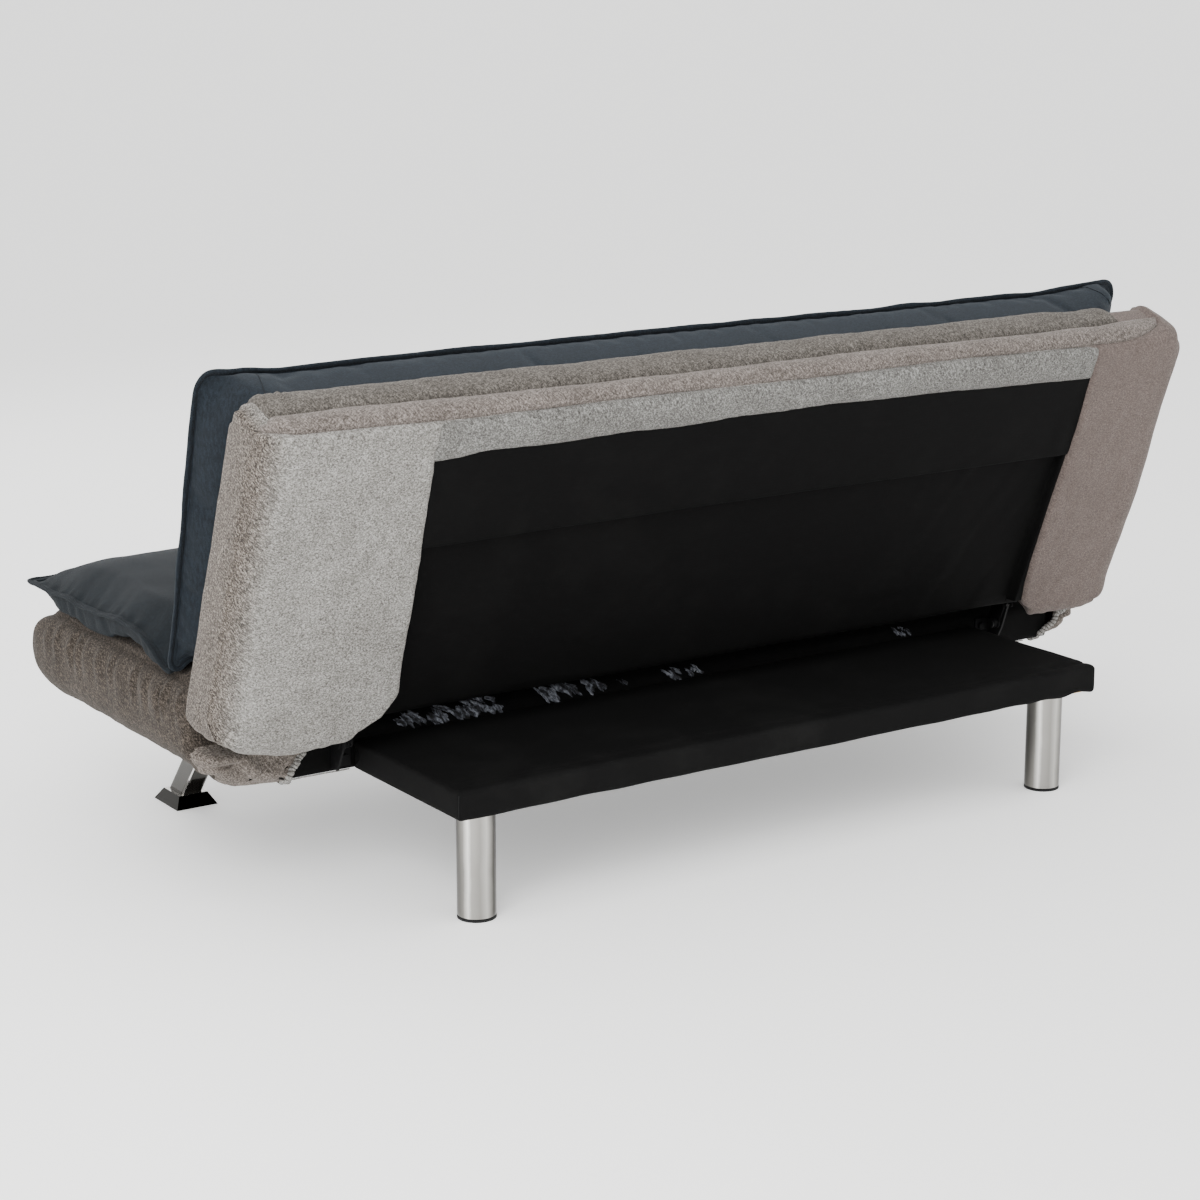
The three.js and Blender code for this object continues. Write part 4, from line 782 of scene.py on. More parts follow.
def back_linings():
    """The stiffened upper panel, and the slack lining below it, tucked behind its folded edge."""
    xs = np.linspace(-656, 656, 190)
    z = np.concatenate([np.linspace(500, 330, 30), np.linspace(325, 317, 6)])
    x, zz = np.meshgrid(xs, z, indexing="ij")
    y = 49.0 + 0.8 * wander(x, zz, 330, 31) + 0.25 * wander(x, zz * 2, 60, 32) * bell(zz - 317, 60)
    y = y + 2.0 * bell(x + 610, 16) * bell(zz - 330, 60)
    p = np.stack([x, y, zz], -1)
    fold = []
    for dy, dz in [(-0.7, -1.7), (-2.2, -2.8), (-4.5, -3.0), (-9, -2.4), (-15, -1.2), (-20.5, 0.5)]:
        q = p[:, -1, :].copy()
        q[:, 1] += dy
        q[:, 2] += dz + 1.2 * np.interp(xs, [-656, 0, 656], [0, 1, -3])
        fold.append(q)
    p[:, -6:, 2] += (1.2 * np.interp(xs, [-656, 0, 656], [0, 1, -3]))[:, None] * np.linspace(0, 1, 6)[None, :]
    p = np.concatenate([p, np.stack(fold, 1)], 1)
    panel = add_piece("back_upper_lining", backrest(p), grid_faces(*p.shape[:2], flip=True), [BLACK],
                      "backrest", "back_upper_panel")

    foot = [(26, 8), (25, 2), (22.5, -3.5), (17, -7), (8, -9), (-6, -11), (-22, -12), (-38, -12)]
    zs = np.linspace(330, 14, 70)
    xs = np.concatenate([[-664, -650], np.linspace(-638, -628, 9), np.linspace(-620, 620, 190),
                         np.linspace(628, 638, 9), [650, 664]])
    x, zz = np.meshgrid(xs, zs, indexing="ij")
    y = 27.6 + 1.2 * wander(x, zz, 420, 34)
    y = y + 2.2 * wander(x * 1.4 + zz * 0.8, zz * 0.25, 120, 35) * bell(x + 520, 130)
    y = y + 1.2 * wander(x * 0.35, zz, 90, 36) * bell(zz - 40, 60)
    y = np.maximum(y, 27.6) + 1.2
    y = y + (46.6 - y) * ease(np.abs(x), 631.5, 635.2)  # over the stiles
    p = np.stack([x, y, zz], -1)
    tail = []
    for yy, z0 in foot:
        q = p[:, -1, :].copy()
        q[:, 1] = yy + 3 + 0.7 * wander(q[:, 0], 0 * q[:, 0], 130, 37)
        q[:, 2] = z0 + 1.4 * wander(q[:, 0], 0 * q[:, 0], 260, 38)
        tail.append(q)
    p = np.concatenate([p, np.stack(tail, 1)], 1)
    lining = add_piece("back_lower_lining", backrest(p), grid_faces(*p.shape[:2], flip=True), [BLACK],
                       "backrest", "back_dust_cover")


# ---- Seat cover

SEAT_ROUND = 22
SEAT_LOOP = Loop([(160, 174, 28), (160, 226, 10), (131, 250, 6), (131, 355, 26),
                  (-444, 355, 70), (-483, 262, 50), (-392, 174, 50)])


def seat_cover():
    loop = SEAT_LOOP
    at = loop.nearest
    bottom_front = at(-325, 174) - loop.length
    rear_top = at(146, 238)
    stations = np.concatenate([
        np.linspace(bottom_front, at(100, 174) - loop.length, 20, endpoint=False),
        np.linspace(at(100, 174) - loop.length, rear_top, 34, endpoint=False),
        np.linspace(rear_top, at(100, 355), 26, endpoint=False),
        np.linspace(at(100, 355), at(-440, 352), 84, endpoint=False),
        np.linspace(at(-440, 352), at(-380, 174), 52, endpoint=False),
        np.linspace(at(-380, 174), bottom_front + loop.length, 5, endpoint=False),
    ])
    wavy = 2.2 * np.sin(stations / 3.4) + 1.6 * np.sin(stations / 1.9 + 1)
    wavy = wavy * ease(stations, at(100, 174) - loop.length, at(100, 174) - loop.length + 40)
    marks = [at(60, 174) - loop.length, at(132, 174) - loop.length, at(159, 190), at(160, 209), at(150, 236)]
    plus = np.interp(stations, marks, [800, 766, 742, 720, 712]) + wavy
    minus = -np.interp(stations, marks, [800, 764, 796, 850, 866]) + wavy
    points, normals, first, last = long_body(loop, stations, HALF, SEAT_ROUND, minus, plus, 60, 30,
                                             [(-390, 262), (50, 262)], 2, 20)
    rows, count = len(points), len(stations)
    x, y, z = points[..., 0], points[..., 1], points[..., 2]
    end = ease(np.abs(x), 862, 899)

    # Vertical puckers below the end's upper edge, where the cover is eased under the pad.
    phase = y / 6.6 + 1.4 * wander(y, 0 * y, 70, 41) + 0.04 * (z - 340)
    strength = 0.55 + 0.45 * wander(y, 0 * y, 60, 42)
    puckers = 7.0 * np.sin(phase) * strength * bell(z - 306, 27) * end * ease(y, -430, -300)
    puckers = puckers * (1 - ease(y, 90, 130))
    soft = 2.2 * wander(y, z, 190, 43) + 0.7 * wander(y * 1.1, z * 0.8, 60, 44)
    dents = 3.0 * bell(y - 60, 70) * bell(z - 250, 60) * end
    # The rear corner is bunched in folds that run down to the elastic hem.
    corner = ease(y, 70, 140) * ease(np.abs(x), 700, 740) * (1 - ease(z, 232, 262))
    out = 900 - np.abs(x)
    slant = out * 0.34 + (z - 210)
    swell = 10.0 * bell(slant - 24, 14) + 9.0 * bell(slant + 14, 13)
    gutter = 8.0 * bell(slant - 4, 6) * ease(out, 14, 44) + 5.0 * bell(out - 112, 9) * bell(z - 206, 14)
    under = np.clip(-normals[..., 2], 0, 1)
    swell, gutter = swell * (1 - 0.6 * under), gutter * (1 - under)
    folds = (2 + swell - gutter) * (1 - 0.45 * ease(np.abs(x), 866, 899))
    folds = folds + 1.6 * wander(x * 0.8, z * 1.6, 60, 46) + 0.5 * wander(x * 1.6, z * 2.0, 26, 47)
    to_hem = np.where(x > 0, x - plus[None, :], minus[None, :] - x)
    ruffle = 2.4 * np.sin(np.broadcast_to(stations, x.shape) / 2.1) * bell(to_hem, 14)
    ruffle = ruffle - 4.0 * bell(to_hem - 11, 5) + 2.5 * bell(to_hem - 2, 5)
    lift = puckers + soft - dents + corner * (folds + ruffle) - 2
    lift = np.where(corner > 0.02, np.maximum(lift, -1.5), lift)
    points = points + normals * lift[..., None]
    sag = ease(y, 60, 150) * (1 - ease(z, 174, 215)) * bell(np.abs(x) - 790, 50)
    points[..., 2] -= 4 * sag
    points[..., 1] = np.minimum(points[..., 1], 172)
    for side in (-1, 1):
        round_corner(points, (0, 2), (side * 904, 172), (side * 130, -80))
        round_corner(points, (0, 2), (side * 904, 357), (side * 88, 64))

    window = (stations >= bottom_front) & (stations <= rear_top)
    keep = np.ones((rows - 1, count), bool)
    for i in range(first, last):
        keep[i, :] = ~(window & np.roll(window, -1))
    faces = grid_faces(rows, count, close=True, keep=keep)
    flat = points.reshape(-1, 3).tolist()
    inside = np.flatnonzero(window)
    for column, side in ((first, -1), (last, 1)):
        previous = [column * count + k for k in inside]
        rear = [k for k in inside if stations[k] > at(120, 174) - loop.length]
        hem = straight(points[column, rear] - normals[column, rear] * 1.5)
        serge("seat_hem_" + ("left" if side < 0 else "right"), hem)
        for depth, shift in ((3.5, -1.5), (7, 1.5), (8, 9), (7, 16)):
            made = []
            for k in inside:
                p = points[column, k] - normals[column, k] * depth
                made.append(len(flat))
                flat.append((p + np.array([side * shift, 0, 0])).tolist())
            for a in range(len(inside) - 1):
                face = (previous[a], previous[a + 1], made[a + 1], made[a])
                faces.append(face if side < 0 else face[::-1])
            previous = made
    flat = np.array(flat)
    # Faces behind the rear rail take the fold copy, painted lighter; the rest take the side copy, painted shaded.
    behind = [int(np.mean([flat[i][1] for i in face]) > 140) for face in faces]
    cover = add_piece("seat_cover_fabric", straight(flat), faces, [GREY_SIDE_SHADED, GREY_FOLD], "base",
                      ("seat_cover", "seat_foam"), behind)
    return cover


def serge(name, path):
    """The overlocked edge of a hem: a soft roll with a light and a dark thread wound round it."""
    run = np.concatenate([[0], np.cumsum(np.linalg.norm(np.diff(path, axis=0), axis=1))])
    t = np.linspace(0, run[-1], int(run[-1] / 0.0007))
    path = np.stack([np.interp(t, run, path[:, i]) for i in range(3)], -1)
    kernel = np.ones(15) / 15
    wide = np.pad(path, ((7, 7), (0, 0)), mode="edge")
    path = np.stack([np.convolve(wide[:, i], kernel, mode="valid") for i in range(3)], -1)
    thread(name + "_roll", path[::3], 0.0050, HEM_YARN, "base", 12)
    along = np.gradient(path, axis=0)
    along /= np.linalg.norm(along, axis=1, keepdims=True)
    across = np.cross(along, [0.0, 1.0, 0.0])
    across /= np.linalg.norm(across, axis=1, keepdims=True) + 1e-9
    over = np.cross(along, across)
    for label, start, radius, finish in (("light", 0, 0.0013, PALE_THREAD), ("dark", math.pi, 0.0008, DARK_THREAD)):
        angle = start + t * 2 * math.pi / 0.0066
        coil = path + 0.0046 * (np.cos(angle)[:, None] * across + np.sin(angle)[:, None] * over)
        thread(name + "_thread_" + label, coil, radius, finish, "base", 6)


# ---- Lining under and behind the seat

def seat_lining():
    rail = [(-330, 177), (-300, 175), (-150, 174.4), (0, 174), (120, 174), (140, 173.8), (150, 174.2),
            (156.5, 176), (158.4, 181), (158.4, 205), (158.4, 218), (158, 228), (155.5, 236), (148, 243.5),
            (140, 249.5), (136, 256), (134.8, 264), (134.5, 272)]
    path = np.array(rail, float)
    steps = np.concatenate([[0], np.cumsum(np.linalg.norm(np.diff(path, axis=0), axis=1))])
    t = np.concatenate([np.linspace(0, steps[4], 26, endpoint=False), np.linspace(steps[4], steps[-1], 34)])
    y, z = np.interp(t, steps, path[:, 0]), np.interp(t, steps, path[:, 1])
    xs = np.linspace(-808, 808, 200)
    p = np.zeros((len(xs), len(t), 3))
    p[..., 0], p[..., 1], p[..., 2] = xs[:, None], y, z
    rear = ease(t, steps[5], steps[8])[None, :]
    p[..., 2] += (1 - rear) * 0.7 * wander(p[..., 0], p[..., 1], 260, 51)
    p[..., 1] += rear * np.maximum(0.9 * wander(p[..., 0], p[..., 2], 110, 52), -0.4)
    p[..., 2] += 9 * ease(p[..., 0], 748, 768) * ease(p[..., 1], 120, 150) * (1 - ease(p[..., 2], 181, 205))
    lining = add_piece("seat_lining", straight(p), grid_faces(*p.shape[:2]), [BLACK], "base",
                       "seat_dust_cover")


def raw_edge():
    """The lining's pale raw edge, which shows as a thin line under the rear rail."""
    for side, label in ((-1, "left"), (1, "right")):
        x = np.linspace(side * 636, side * 756, 60)
        line = np.stack([x, 156.6 + 0.3 * wander(x, 0 * x, 40, 55), 174.6 - 0.3 * wander(x, 0 * x, 60, 56)], -1)
        thread("seat_lining_raw_edge_" + label, straight(line), 0.0012, PALE_THREAD, "base")


# ---- Rear platform

def platform():
    loop = Loop([(477, 173.5, 7), (477, 221, 8), (158, 221, 3), (158, 173.5, 3)])
    at = loop.nearest
    length = loop.length
    half, end_round = 630.5, 7
    s = np.concatenate([
        np.linspace(at(464, 174) - length, at(464, 219.5), 34, endpoint=False),
        np.linspace(at(464, 219.5), at(162, 219.5), 46, endpoint=False),
        np.linspace(at(162, 219.5), at(162, 174), 12, endpoint=False),
        np.linspace(at(162, 174), at(464, 174), 20, endpoint=False),
    ])
    edge = half - end_round
    xs = np.concatenate([-edge - end_round * np.cos(np.linspace(0, math.pi / 2, 6, endpoint=False)),
                         np.linspace(-edge, edge, 190),
                         edge + end_round * np.sin(np.linspace(0, math.pi / 2, 7))[1:]])
    sg, xg = np.meshgrid(s, xs)
    base, normal = loop.at(sg)
    lean = np.arcsin(np.clip((np.abs(xg) - edge) / end_round, 0, 1))
    inset = (end_round * (1 - np.cos(lean)))[..., None]
    p = np.concatenate([xg[..., None], base - normal * inset], -1)
    n = np.concatenate([(np.sin(lean) * np.sign(xg))[..., None], normal * np.cos(lean)[..., None]], -1)
    y, z = p[..., 1], p[..., 2]
    top = ease(z, 214, 219)
    # A long shallow crease along the rear edge, and a soft wave in the board's cover.
    crease = -1.5 * bell(y - 449 - 3 * wander(xg, 0 * xg, 500, 61), 5) + 0.9 * bell(y - 438, 9)
    slack = 0.5 * wander(xg, y, 190, 62) + 0.3 * wander(xg * 0.4, y, 40, 63) * bell(y - 440, 60)
    wave = 0.8 * wander(xg, z, 120, 64) * (1 - top)
    p = p + n * (top * (crease + slack) + wave - 0.6)[..., None]
    low = ease(y, 440, 470) * (1 - ease(z, 174, 186))
    near_end = bell(xg + 600, 52)
    p[..., 2] += low * (2.2 * wander(xg, 0 * xg, 70, 65) * bell(xg + 590, 110) - 1.5 * near_end * np.sin(xg / 15))
    p[..., 2] = np.maximum(p[..., 2], 172)
    faces = grid_faces(len(xs), len(s), close=True)
    flat = p.reshape(-1, 3).tolist()
    for row, flip in ((0, False), (len(xs) - 1, True)):
        ring = [row * len(s) + k for k in range(len(s))]
        rim = p[row]
        centre = np.array([158 + 317 / 2, 196.7])
        previous = ring
        for w in np.linspace(0, 1, 9)[1:]:
            spine_y = np.clip(rim[:, 1], 182, 451)
            target = np.stack([rim[:, 0], spine_y, 0 * spine_y + centre[1]], -1)
            q = rim + (target - rim) * w
            q[:, 0] += np.sign(rim[0, 0]) * 0.6 * math.sin(w * 1.5)
            made = list(range(len(flat), len(flat) + len(q)))
            flat += q.tolist()
            for a in range(len(ring)):
                b = (a + 1) % len(ring)
                face = (previous[a], previous[b], made[b], made[a])
                faces.append(face if flip else face[::-1])
            previous = made
    cover = add_piece("platform_lining", straight(np.array(flat)), faces, [BLACK_TOP], "base",
                      "platform_cover")
    # Corner seams, where the cover is folded and stitched.
    for side in (-1, 1):
        line = [(side * (half - 1.6), 475.1 - 1.2, z + 0.6 * math.sin(z / 4)) for z in np.linspace(214, 178, 24)]
        thread("platform_corner_seam_" + ("left" if side < 0 else "right"), straight(line), 0.0007, BLACK_STEEL,
               "base")


def thread(name, path, radius, material, body, sides=6, close=False):
    """A thin round strand along a path in metres."""
    path = np.asarray(path, float)
    count = len(path)
    if close:
        tangent = np.roll(path, -1, 0) - np.roll(path, 1, 0)
    else:
        tangent = np.gradient(path, axis=0)
    tangent /= np.linalg.norm(tangent, axis=1, keepdims=True) + 1e-12
    up = np.where(np.abs(tangent[:, 2:3]) > 0.9, np.array([[1.0, 0, 0]]), np.array([[0, 0, 1.0]]))
    across = np.cross(tangent, up)
    across /= np.linalg.norm(across, axis=1, keepdims=True)
    over = np.cross(across, tangent)
    angles = np.linspace(0, 2 * math.pi, sides, endpoint=False)
    radius = np.broadcast_to(radius, (count,))
    ring = np.cos(angles)[None, :, None] * across[:, None] + np.sin(angles)[None, :, None] * over[:, None]
    points = path[:, None] + ring * radius[:, None, None]
    faces = grid_faces(count, sides, close=True, flip=True)
    if close:
        last = (count - 1) * sides
        faces += [(last + k, k, (k + 1) % sides, last + (k + 1) % sides)[::-1] for k in range(sides)]
    else:
        faces += [tuple(range(sides)), tuple(range(count * sides - 1, (count - 1) * sides - 1, -1))]
    return add_piece(name, points, faces, [material], body, None)


# ---- Pads

CHANNELS = (-300, 300)  # the sewn channels that divide each pad into three
FLANGE = 10  # how far the edge flange stands out of the pad


def smooth_line(knots, count):
    """Even points along a smooth line through the knots."""
    p = np.array(knots, float)
    ends = np.vstack([2 * p[0] - p[1], p, 2 * p[-1] - p[-2]])
    made = []
    for k in range(1, len(ends) - 2):
        a, b, c, d = ends[k - 1:k + 3]
        t = np.linspace(0, 1, 24, endpoint=False)[:, None]
        made.append(b + (c - a) * t * (1 + t * (t - 2)) * 0.5 + (d - b) * t * t * (t - 1) * 0.5
                    + (c - b) * t * t * (3 - 2 * t))
    line = np.vstack([*made, p[-1:]])
    run = np.concatenate([[0], np.cumsum(np.linalg.norm(np.diff(line, axis=0), axis=1))])
    t = np.linspace(0, run[-1], count)
    return np.stack([np.interp(t, run, line[:, i]) for i in (0, 1)], -1)


def pad_columns(half):
    """Places along X, closer together near the ends and at the channels."""
    places = [0.0]
    while places[-1] < 2 * half:
        x = places[-1]
        near = min(x, 2 * half - x)
        channel = min(abs(x - half - c) for c in CHANNELS)
        places.append(x + min(2.5 + near * 0.16, 4 + channel * 0.14, 10))
    places = np.array(places)
    return places * 2 * half / places[-1] - half


class Pad:
    """A stuffed pad: two skins sewn together at an edge seam with a flange.

    It is laid out in x, a and h: a runs from the seam nearest the hinge to the far one, and h is its thickness.
    """

    def __init__(self, name, crown, base, rest, crown_ends, base_ends, seam, corner, slow=1.0, steps=58):
        self.name = name
        half = HALF - FLANGE
        xs = pad_columns(half)
        near = half - np.abs(xs)
        lines = [smooth_line(crown, steps), smooth_line(base, steps)]
        lines[1][:, 1] = np.where(np.abs(lines[1][:, 1] - rest) < 0.8, rest, lines[1][:, 1])
        a0, a1 = crown[0][0], crown[-1][0]
        common = np.linspace(a0, a1, steps)
        even = ease(near, 0, 50)[:, None]
        shares = [np.interp(near, *zip(*crown_ends)),
                  np.interp(near * np.where(xs < 0, slow, 1), *zip(*base_ends))]
        dip = 1 - sum(0.66 * bell(xs - c, 22) for c in CHANNELS)
        skins = []
        for k in (0, 1):
            a = lines[k][None, :, 0] * even + common[None, :] * (1 - even)
            low = seam(a, xs[:, None])
            high = lines[k][None, :, 1]
            flat_seam = seam(lines[k][:, 0], np.zeros(steps))[None, :]
            share = shares[k][:, None] * (dip[:, None] if k == 0 else 1)
            h = low + (high - flat_seam) * share
            if k == 1:
                h = np.where(np.sign(rest - low) * (rest - h) < 0, rest, h)
            x = np.broadcast_to(xs[:, None], a.shape)
            x, a = self.rounded(x, a, half, a0, a1, corner)
            skins.append(np.stack([x, a, h], -1))
        self.columns, self.steps = len(xs), steps
        top, bottom = skins
        grid = np.arange(top.shape[0] * steps).reshape(-1, steps)
        under = grid + grid.size
        for edge in (np.s_[0, :], np.s_[-1, :], np.s_[:, 0], np.s_[:, -1]):
            under[edge] = grid[edge]
        self.crown_grid, self.base_grid = grid, under
        points = np.concatenate([top.reshape(-1, 3), bottom.reshape(-1, 3)])
        used, remap = np.unique(np.concatenate([grid.ravel(), under.ravel()]), return_inverse=True)
        self.crown_grid = remap[:grid.size].reshape(grid.shape)
        self.base_grid = remap[grid.size:].reshape(grid.shape)
        self.points = points[used]
        pinned = np.zeros(len(used))
        for edge in (np.s_[0, :], np.s_[-1, :], np.s_[:, 0], np.s_[:, -1]):
            pinned[self.crown_grid[edge]] = 1
        resting = np.abs(bottom[..., 2] - rest) < 0.6
        pinned[self.base_grid[resting]] = 1
        for c in CHANNELS:
            pinned[self.crown_grid[np.abs(xs - c) < 5.5]] = 1
        self.pinned = pinned
        self.in_base = np.zeros(len(used), bool)
        self.in_base[self.base_grid[1:-1, 1:-1]] = True

    @staticmethod
    def rounded(x, a, half, a0, a1, radius):
        """Rounds the plan's corners by easing each square corner into a quarter circle."""
        middle, reach = (a0 + a1) / 2, abs(a1 - a0) / 2
        u = np.maximum(np.abs(x) - (half - radius), 0)
        v = np.maximum(np.abs(a - middle) - (reach - radius), 0)
        both = np.maximum(np.hypot(u, v), 1e-9)
        shrink = np.where((u > 0) & (v > 0), np.maximum(u, v) / both, 1)
        nx = np.where(u > 0, np.sign(x) * (half - radius + u * shrink), x)
        na = np.where(v > 0, middle + np.sign(a - middle) * (reach - radius + v * shrink), a)
        return nx, na

    def faces(self, flip):
        made = []
        for grid, turn in ((self.crown_grid, flip), (self.base_grid, not flip)):
            for i in range(self.columns - 1):
                for j in range(self.steps - 1):
                    f = [grid[i, j], grid[i + 1, j], grid[i + 1, j + 1], grid[i, j + 1]]
                    f = [v for k, v in enumerate(f) if v != f[k - 1]]
                    if len(set(f)) >= 3:
                        made.append(f[::-1] if turn else f)
        return made

    def rim(self):
        """The seam's vertices, once round."""
        g = self.crown_grid
        return np.concatenate([g[:, 0], g[-1, 1:-1], g[::-1, -1], g[0, -2:0:-1]])


def inflate(obj, pinned, pressure, slack, caps, frames=20):
    """Blows the pad up as cloth, held at its seams, sewn channels and resting face."""
    group = obj.vertex_groups.new(name="sewn")
    group.add([int(i) for i in np.flatnonzero(pinned > 0.5)], 1.0, "REPLACE")
    before = coordinates(obj.data)
    cloth = obj.modifiers.new("cloth", "CLOTH")
    settings = cloth.settings
    settings.quality = 6
    settings.mass = 0.25
    settings.tension_stiffness = 12
    settings.compression_stiffness = 12
    settings.shear_stiffness = 4
    settings.bending_stiffness = 0.12
    settings.air_damping = 3
    settings.use_pressure = True
    settings.uniform_pressure_force = pressure
    settings.shrink_min = -slack
    settings.vertex_group_mass = "sewn"
    settings.pin_stiffness = 1
    settings.effector_weights.gravity = 0
    cloth.collision_settings.use_collision = False
    cloth.collision_settings.use_self_collision = False
    cloth.point_cache.frame_start, cloth.point_cache.frame_end = 1, frames
    scene = bpy.context.scene
    for frame_number in range(1, frames + 1):
        scene.frame_set(frame_number)
    graph = bpy.context.evaluated_depsgraph_get()
    after = coordinates(obj.evaluated_get(graph).data)
    obj.modifiers.remove(cloth)
    scene.frame_set(1)
    moved = after - before
    far = np.linalg.norm(moved, axis=1)
    moved *= np.minimum(1, caps / np.maximum(far, 1e-9))[:, None]
    obj.data.vertices.foreach_set("co", (before + moved).ravel())
    obj.data.update()


def coordinates(mesh):
    co = np.empty(len(mesh.vertices) * 3)
    mesh.vertices.foreach_get("co", co)
    return co.reshape(-1, 3)


def subdivide(obj, levels=1):
    modifier = obj.modifiers.new("smooth", "SUBSURF")
    modifier.levels = modifier.render_levels = levels


def add_flange(name, path, outward, thickness, material, body, seed):
    """The edge flange: two turned-in layers with a stitched line at the seam. path is in metres."""
    count = len(path)
    section = np.array([(-8, -1.6), (0.0, -2.4), (1.0, -0.7), (2.6, -0.7), (3.8, -2.5), (7.6, -2.8), (9.5, -2.0),
                        (10.3, 0), (9.5, 2.0), (7.6, 2.8), (3.8, 2.5), (2.6, 0.7), (1.0, 0.7), (0.0, 2.4),
                        (-8, 1.6)]) * MM
    run = np.concatenate([[0], np.cumsum(np.linalg.norm(np.diff(path, axis=0), axis=1))]) * 1000
    wave = 1.6 * wander(run, 0 * run, 75, seed) + 0.7 * wander(run, 0 * run, 24, seed + 1)
    wide = 1 + 0.10 * wander(run, 0 * run, 110, seed + 2)
    outer = np.clip(section[:, 0] / (10 * MM), 0, 1)
    points = (path[:, None]
              + outward[:, None] * (section[None, :, :1] * wide[:, None, None])
              + thickness[:, None] * (section[None, :, 1:] + wave[:, None, None] * outer[None, :, None] * MM))
    sides = len(section)
    faces = grid_faces(count, sides, close=True)
    last = (count - 1) * sides
    faces += [(last + k, last + (k + 1) % sides, (k + 1) % sides, k) for k in range(sides)]
    obj = add_piece(name, points, faces, [material], body, None)
    subdivide(obj)
    for side, label in ((1, "face"), (-1, "back")):
        groove = path + outward * 1.8 * MM + thickness * side * 0.9 * MM
        thread(name + "_groove_" + label, groove, 0.0009, BLUE_THREAD, body, 5, close=True)
        lifted = thickness * (side * 2.65 + wave[:, None] * 0.55) * MM
        line = path + outward * 5.5 * MM + lifted
        stitches(name + "_stitch_" + label, line, 3.6, 1.6, 0.6, BLUE_THREAD, body)
    return obj


def stitches(name, path, length, gap, radius, material, body):
    """A row of short stitches along a path, as one piece."""
    path = np.asarray(path, float)
    run = np.concatenate([[0], np.cumsum(np.linalg.norm(np.diff(path, axis=0), axis=1))]) * 1000
    starts = np.arange(0, run[-1] - length, length + gap)

    def at(s):
        return np.stack([np.interp(s, run, path[:, i]) for i in range(3)], -1)

    a, b = at(starts), at(starts + length)
    along = b - a
    along /= np.linalg.norm(along, axis=1, keepdims=True) + 1e-12
    up = np.where(np.abs(along[:, 2:3]) > 0.8, np.array([[1.0, 0, 0]]), np.array([[0, 0, 1.0]]))
    across = np.cross(along, up)
    across /= np.linalg.norm(across, axis=1, keepdims=True)
    over = np.cross(across, along)
    rings = []
    for share, size in ((0, 0.35), (0.18, 1.0), (0.82, 1.0), (1, 0.35)):
        for k in range(5):
            angle = 2 * math.pi * k / 5
            rings.append(a + (b - a) * share + (across * math.cos(angle) + over * math.sin(angle)) * size * radius * MM)
    points = np.stack(rings, 1)
    faces = []
    for i in range(len(starts)):
        base = i * 20
        for ring in range(3):
            for k in range(5):
                n = (k + 1) % 5
                here = base + ring * 5
                faces.append((here + k, here + n, here + 5 + n, here + 5 + k))
        faces.append(tuple(base + k for k in (4, 3, 2, 1, 0)))
        faces.append(tuple(base + 15 + k for k in range(5)))
    return add_piece(name, points, faces, [material], body, None)


def enclosed(points, faces):
    """The volume inside a closed mesh; it is negative where the faces point inwards."""
    total = 0.0
    for face in faces:
        a = points[face[0]]
        for k in range(1, len(face) - 1):
            total += a @ np.cross(points[face[k]], points[face[k + 1]])
    return total / 6


def calm(obj, pad, reach, amount):
    """Eases the small wrinkles that the simulation leaves near the ends of the crown, and keeps the long folds."""
    points = coordinates(obj.data)
    grid = pad.crown_grid
    crown = points[grid]
    half = 7
    kernel = np.hanning(2 * half + 3)[1:-1]
    kernel /= kernel.sum()
    wide = np.pad(crown, ((0, 0), (half, half), (0, 0)), mode="reflect", reflect_type="odd")
    smooth = sum(weight * wide[:, k:k + crown.shape[1]] for k, weight in enumerate(kernel))
    near = (HALF - FLANGE) - np.abs(pad.points[grid, 0])
    share = amount * (1 - ease(near, reach * 0.5, reach)) * ease(near, 0, 12)
    along = np.arange(crown.shape[1])
    share = share * ease(np.minimum(along, along[::-1]), 0, 5)[None, :]
    points[grid] = crown + (smooth - crown) * share[..., None]
    obj.data.vertices.foreach_set("co", points.ravel())
    obj.data.update()


def finish_pad(pad, to_world, axis, body, node, pressure, slack, cap, seed, cloth, eased=0.0):
    """Makes the pad's piece, inflates it, and adds its flange and the channels' stitching."""
    world = to_world(pad.points)
    faces = pad.faces(False)
    if enclosed(world, faces) < 0:
        faces = pad.faces(True)
    obj = add_piece(pad.name, world, faces, [cloth], body, node)
    inflate(obj, pad.pinned, pressure, slack, np.where(pad.in_base, 0.25 * cap, cap))
    calm(obj, pad, 260, eased)
    shape = coordinates(obj.data)
    subdivide(obj)
    rim = pad.rim()
    path = shape[rim]
    tangent = np.roll(path, -2, 0) - np.roll(path, 2, 0)
    tangent /= np.linalg.norm(tangent, axis=1, keepdims=True)
    thick = np.tile(np.asarray(axis, float), (len(path), 1))
    outward = np.cross(tangent, thick)
    outward /= np.linalg.norm(outward, axis=1, keepdims=True)
    if np.mean(np.sum(outward * (path - path.mean(0)), 1)) < 0:
        outward = -outward
    kernel = np.array([1, 2, 3, 2, 1]) / 9
    outward = sum(w * np.roll(outward, k - 2, 0) for k, w in enumerate(kernel))
    outward /= np.linalg.norm(outward, axis=1, keepdims=True)
    flange = add_flange(pad.name + "_flange", path, outward, thick, cloth, body, seed)
    xs = pad.points[pad.crown_grid[:, 10], 0]
    for c, label in zip(CHANNELS, ("left", "right")):
        column = int(np.argmin(np.abs(xs - c)))
        line = shape[pad.crown_grid[column, 1:-1]] + np.asarray(axis) * 0.4 * MM
        stitches(pad.name + "_channel_stitch_" + label, line, 4.0, 2.4, 0.7, BLUE_THREAD, body)
    return obj, flange


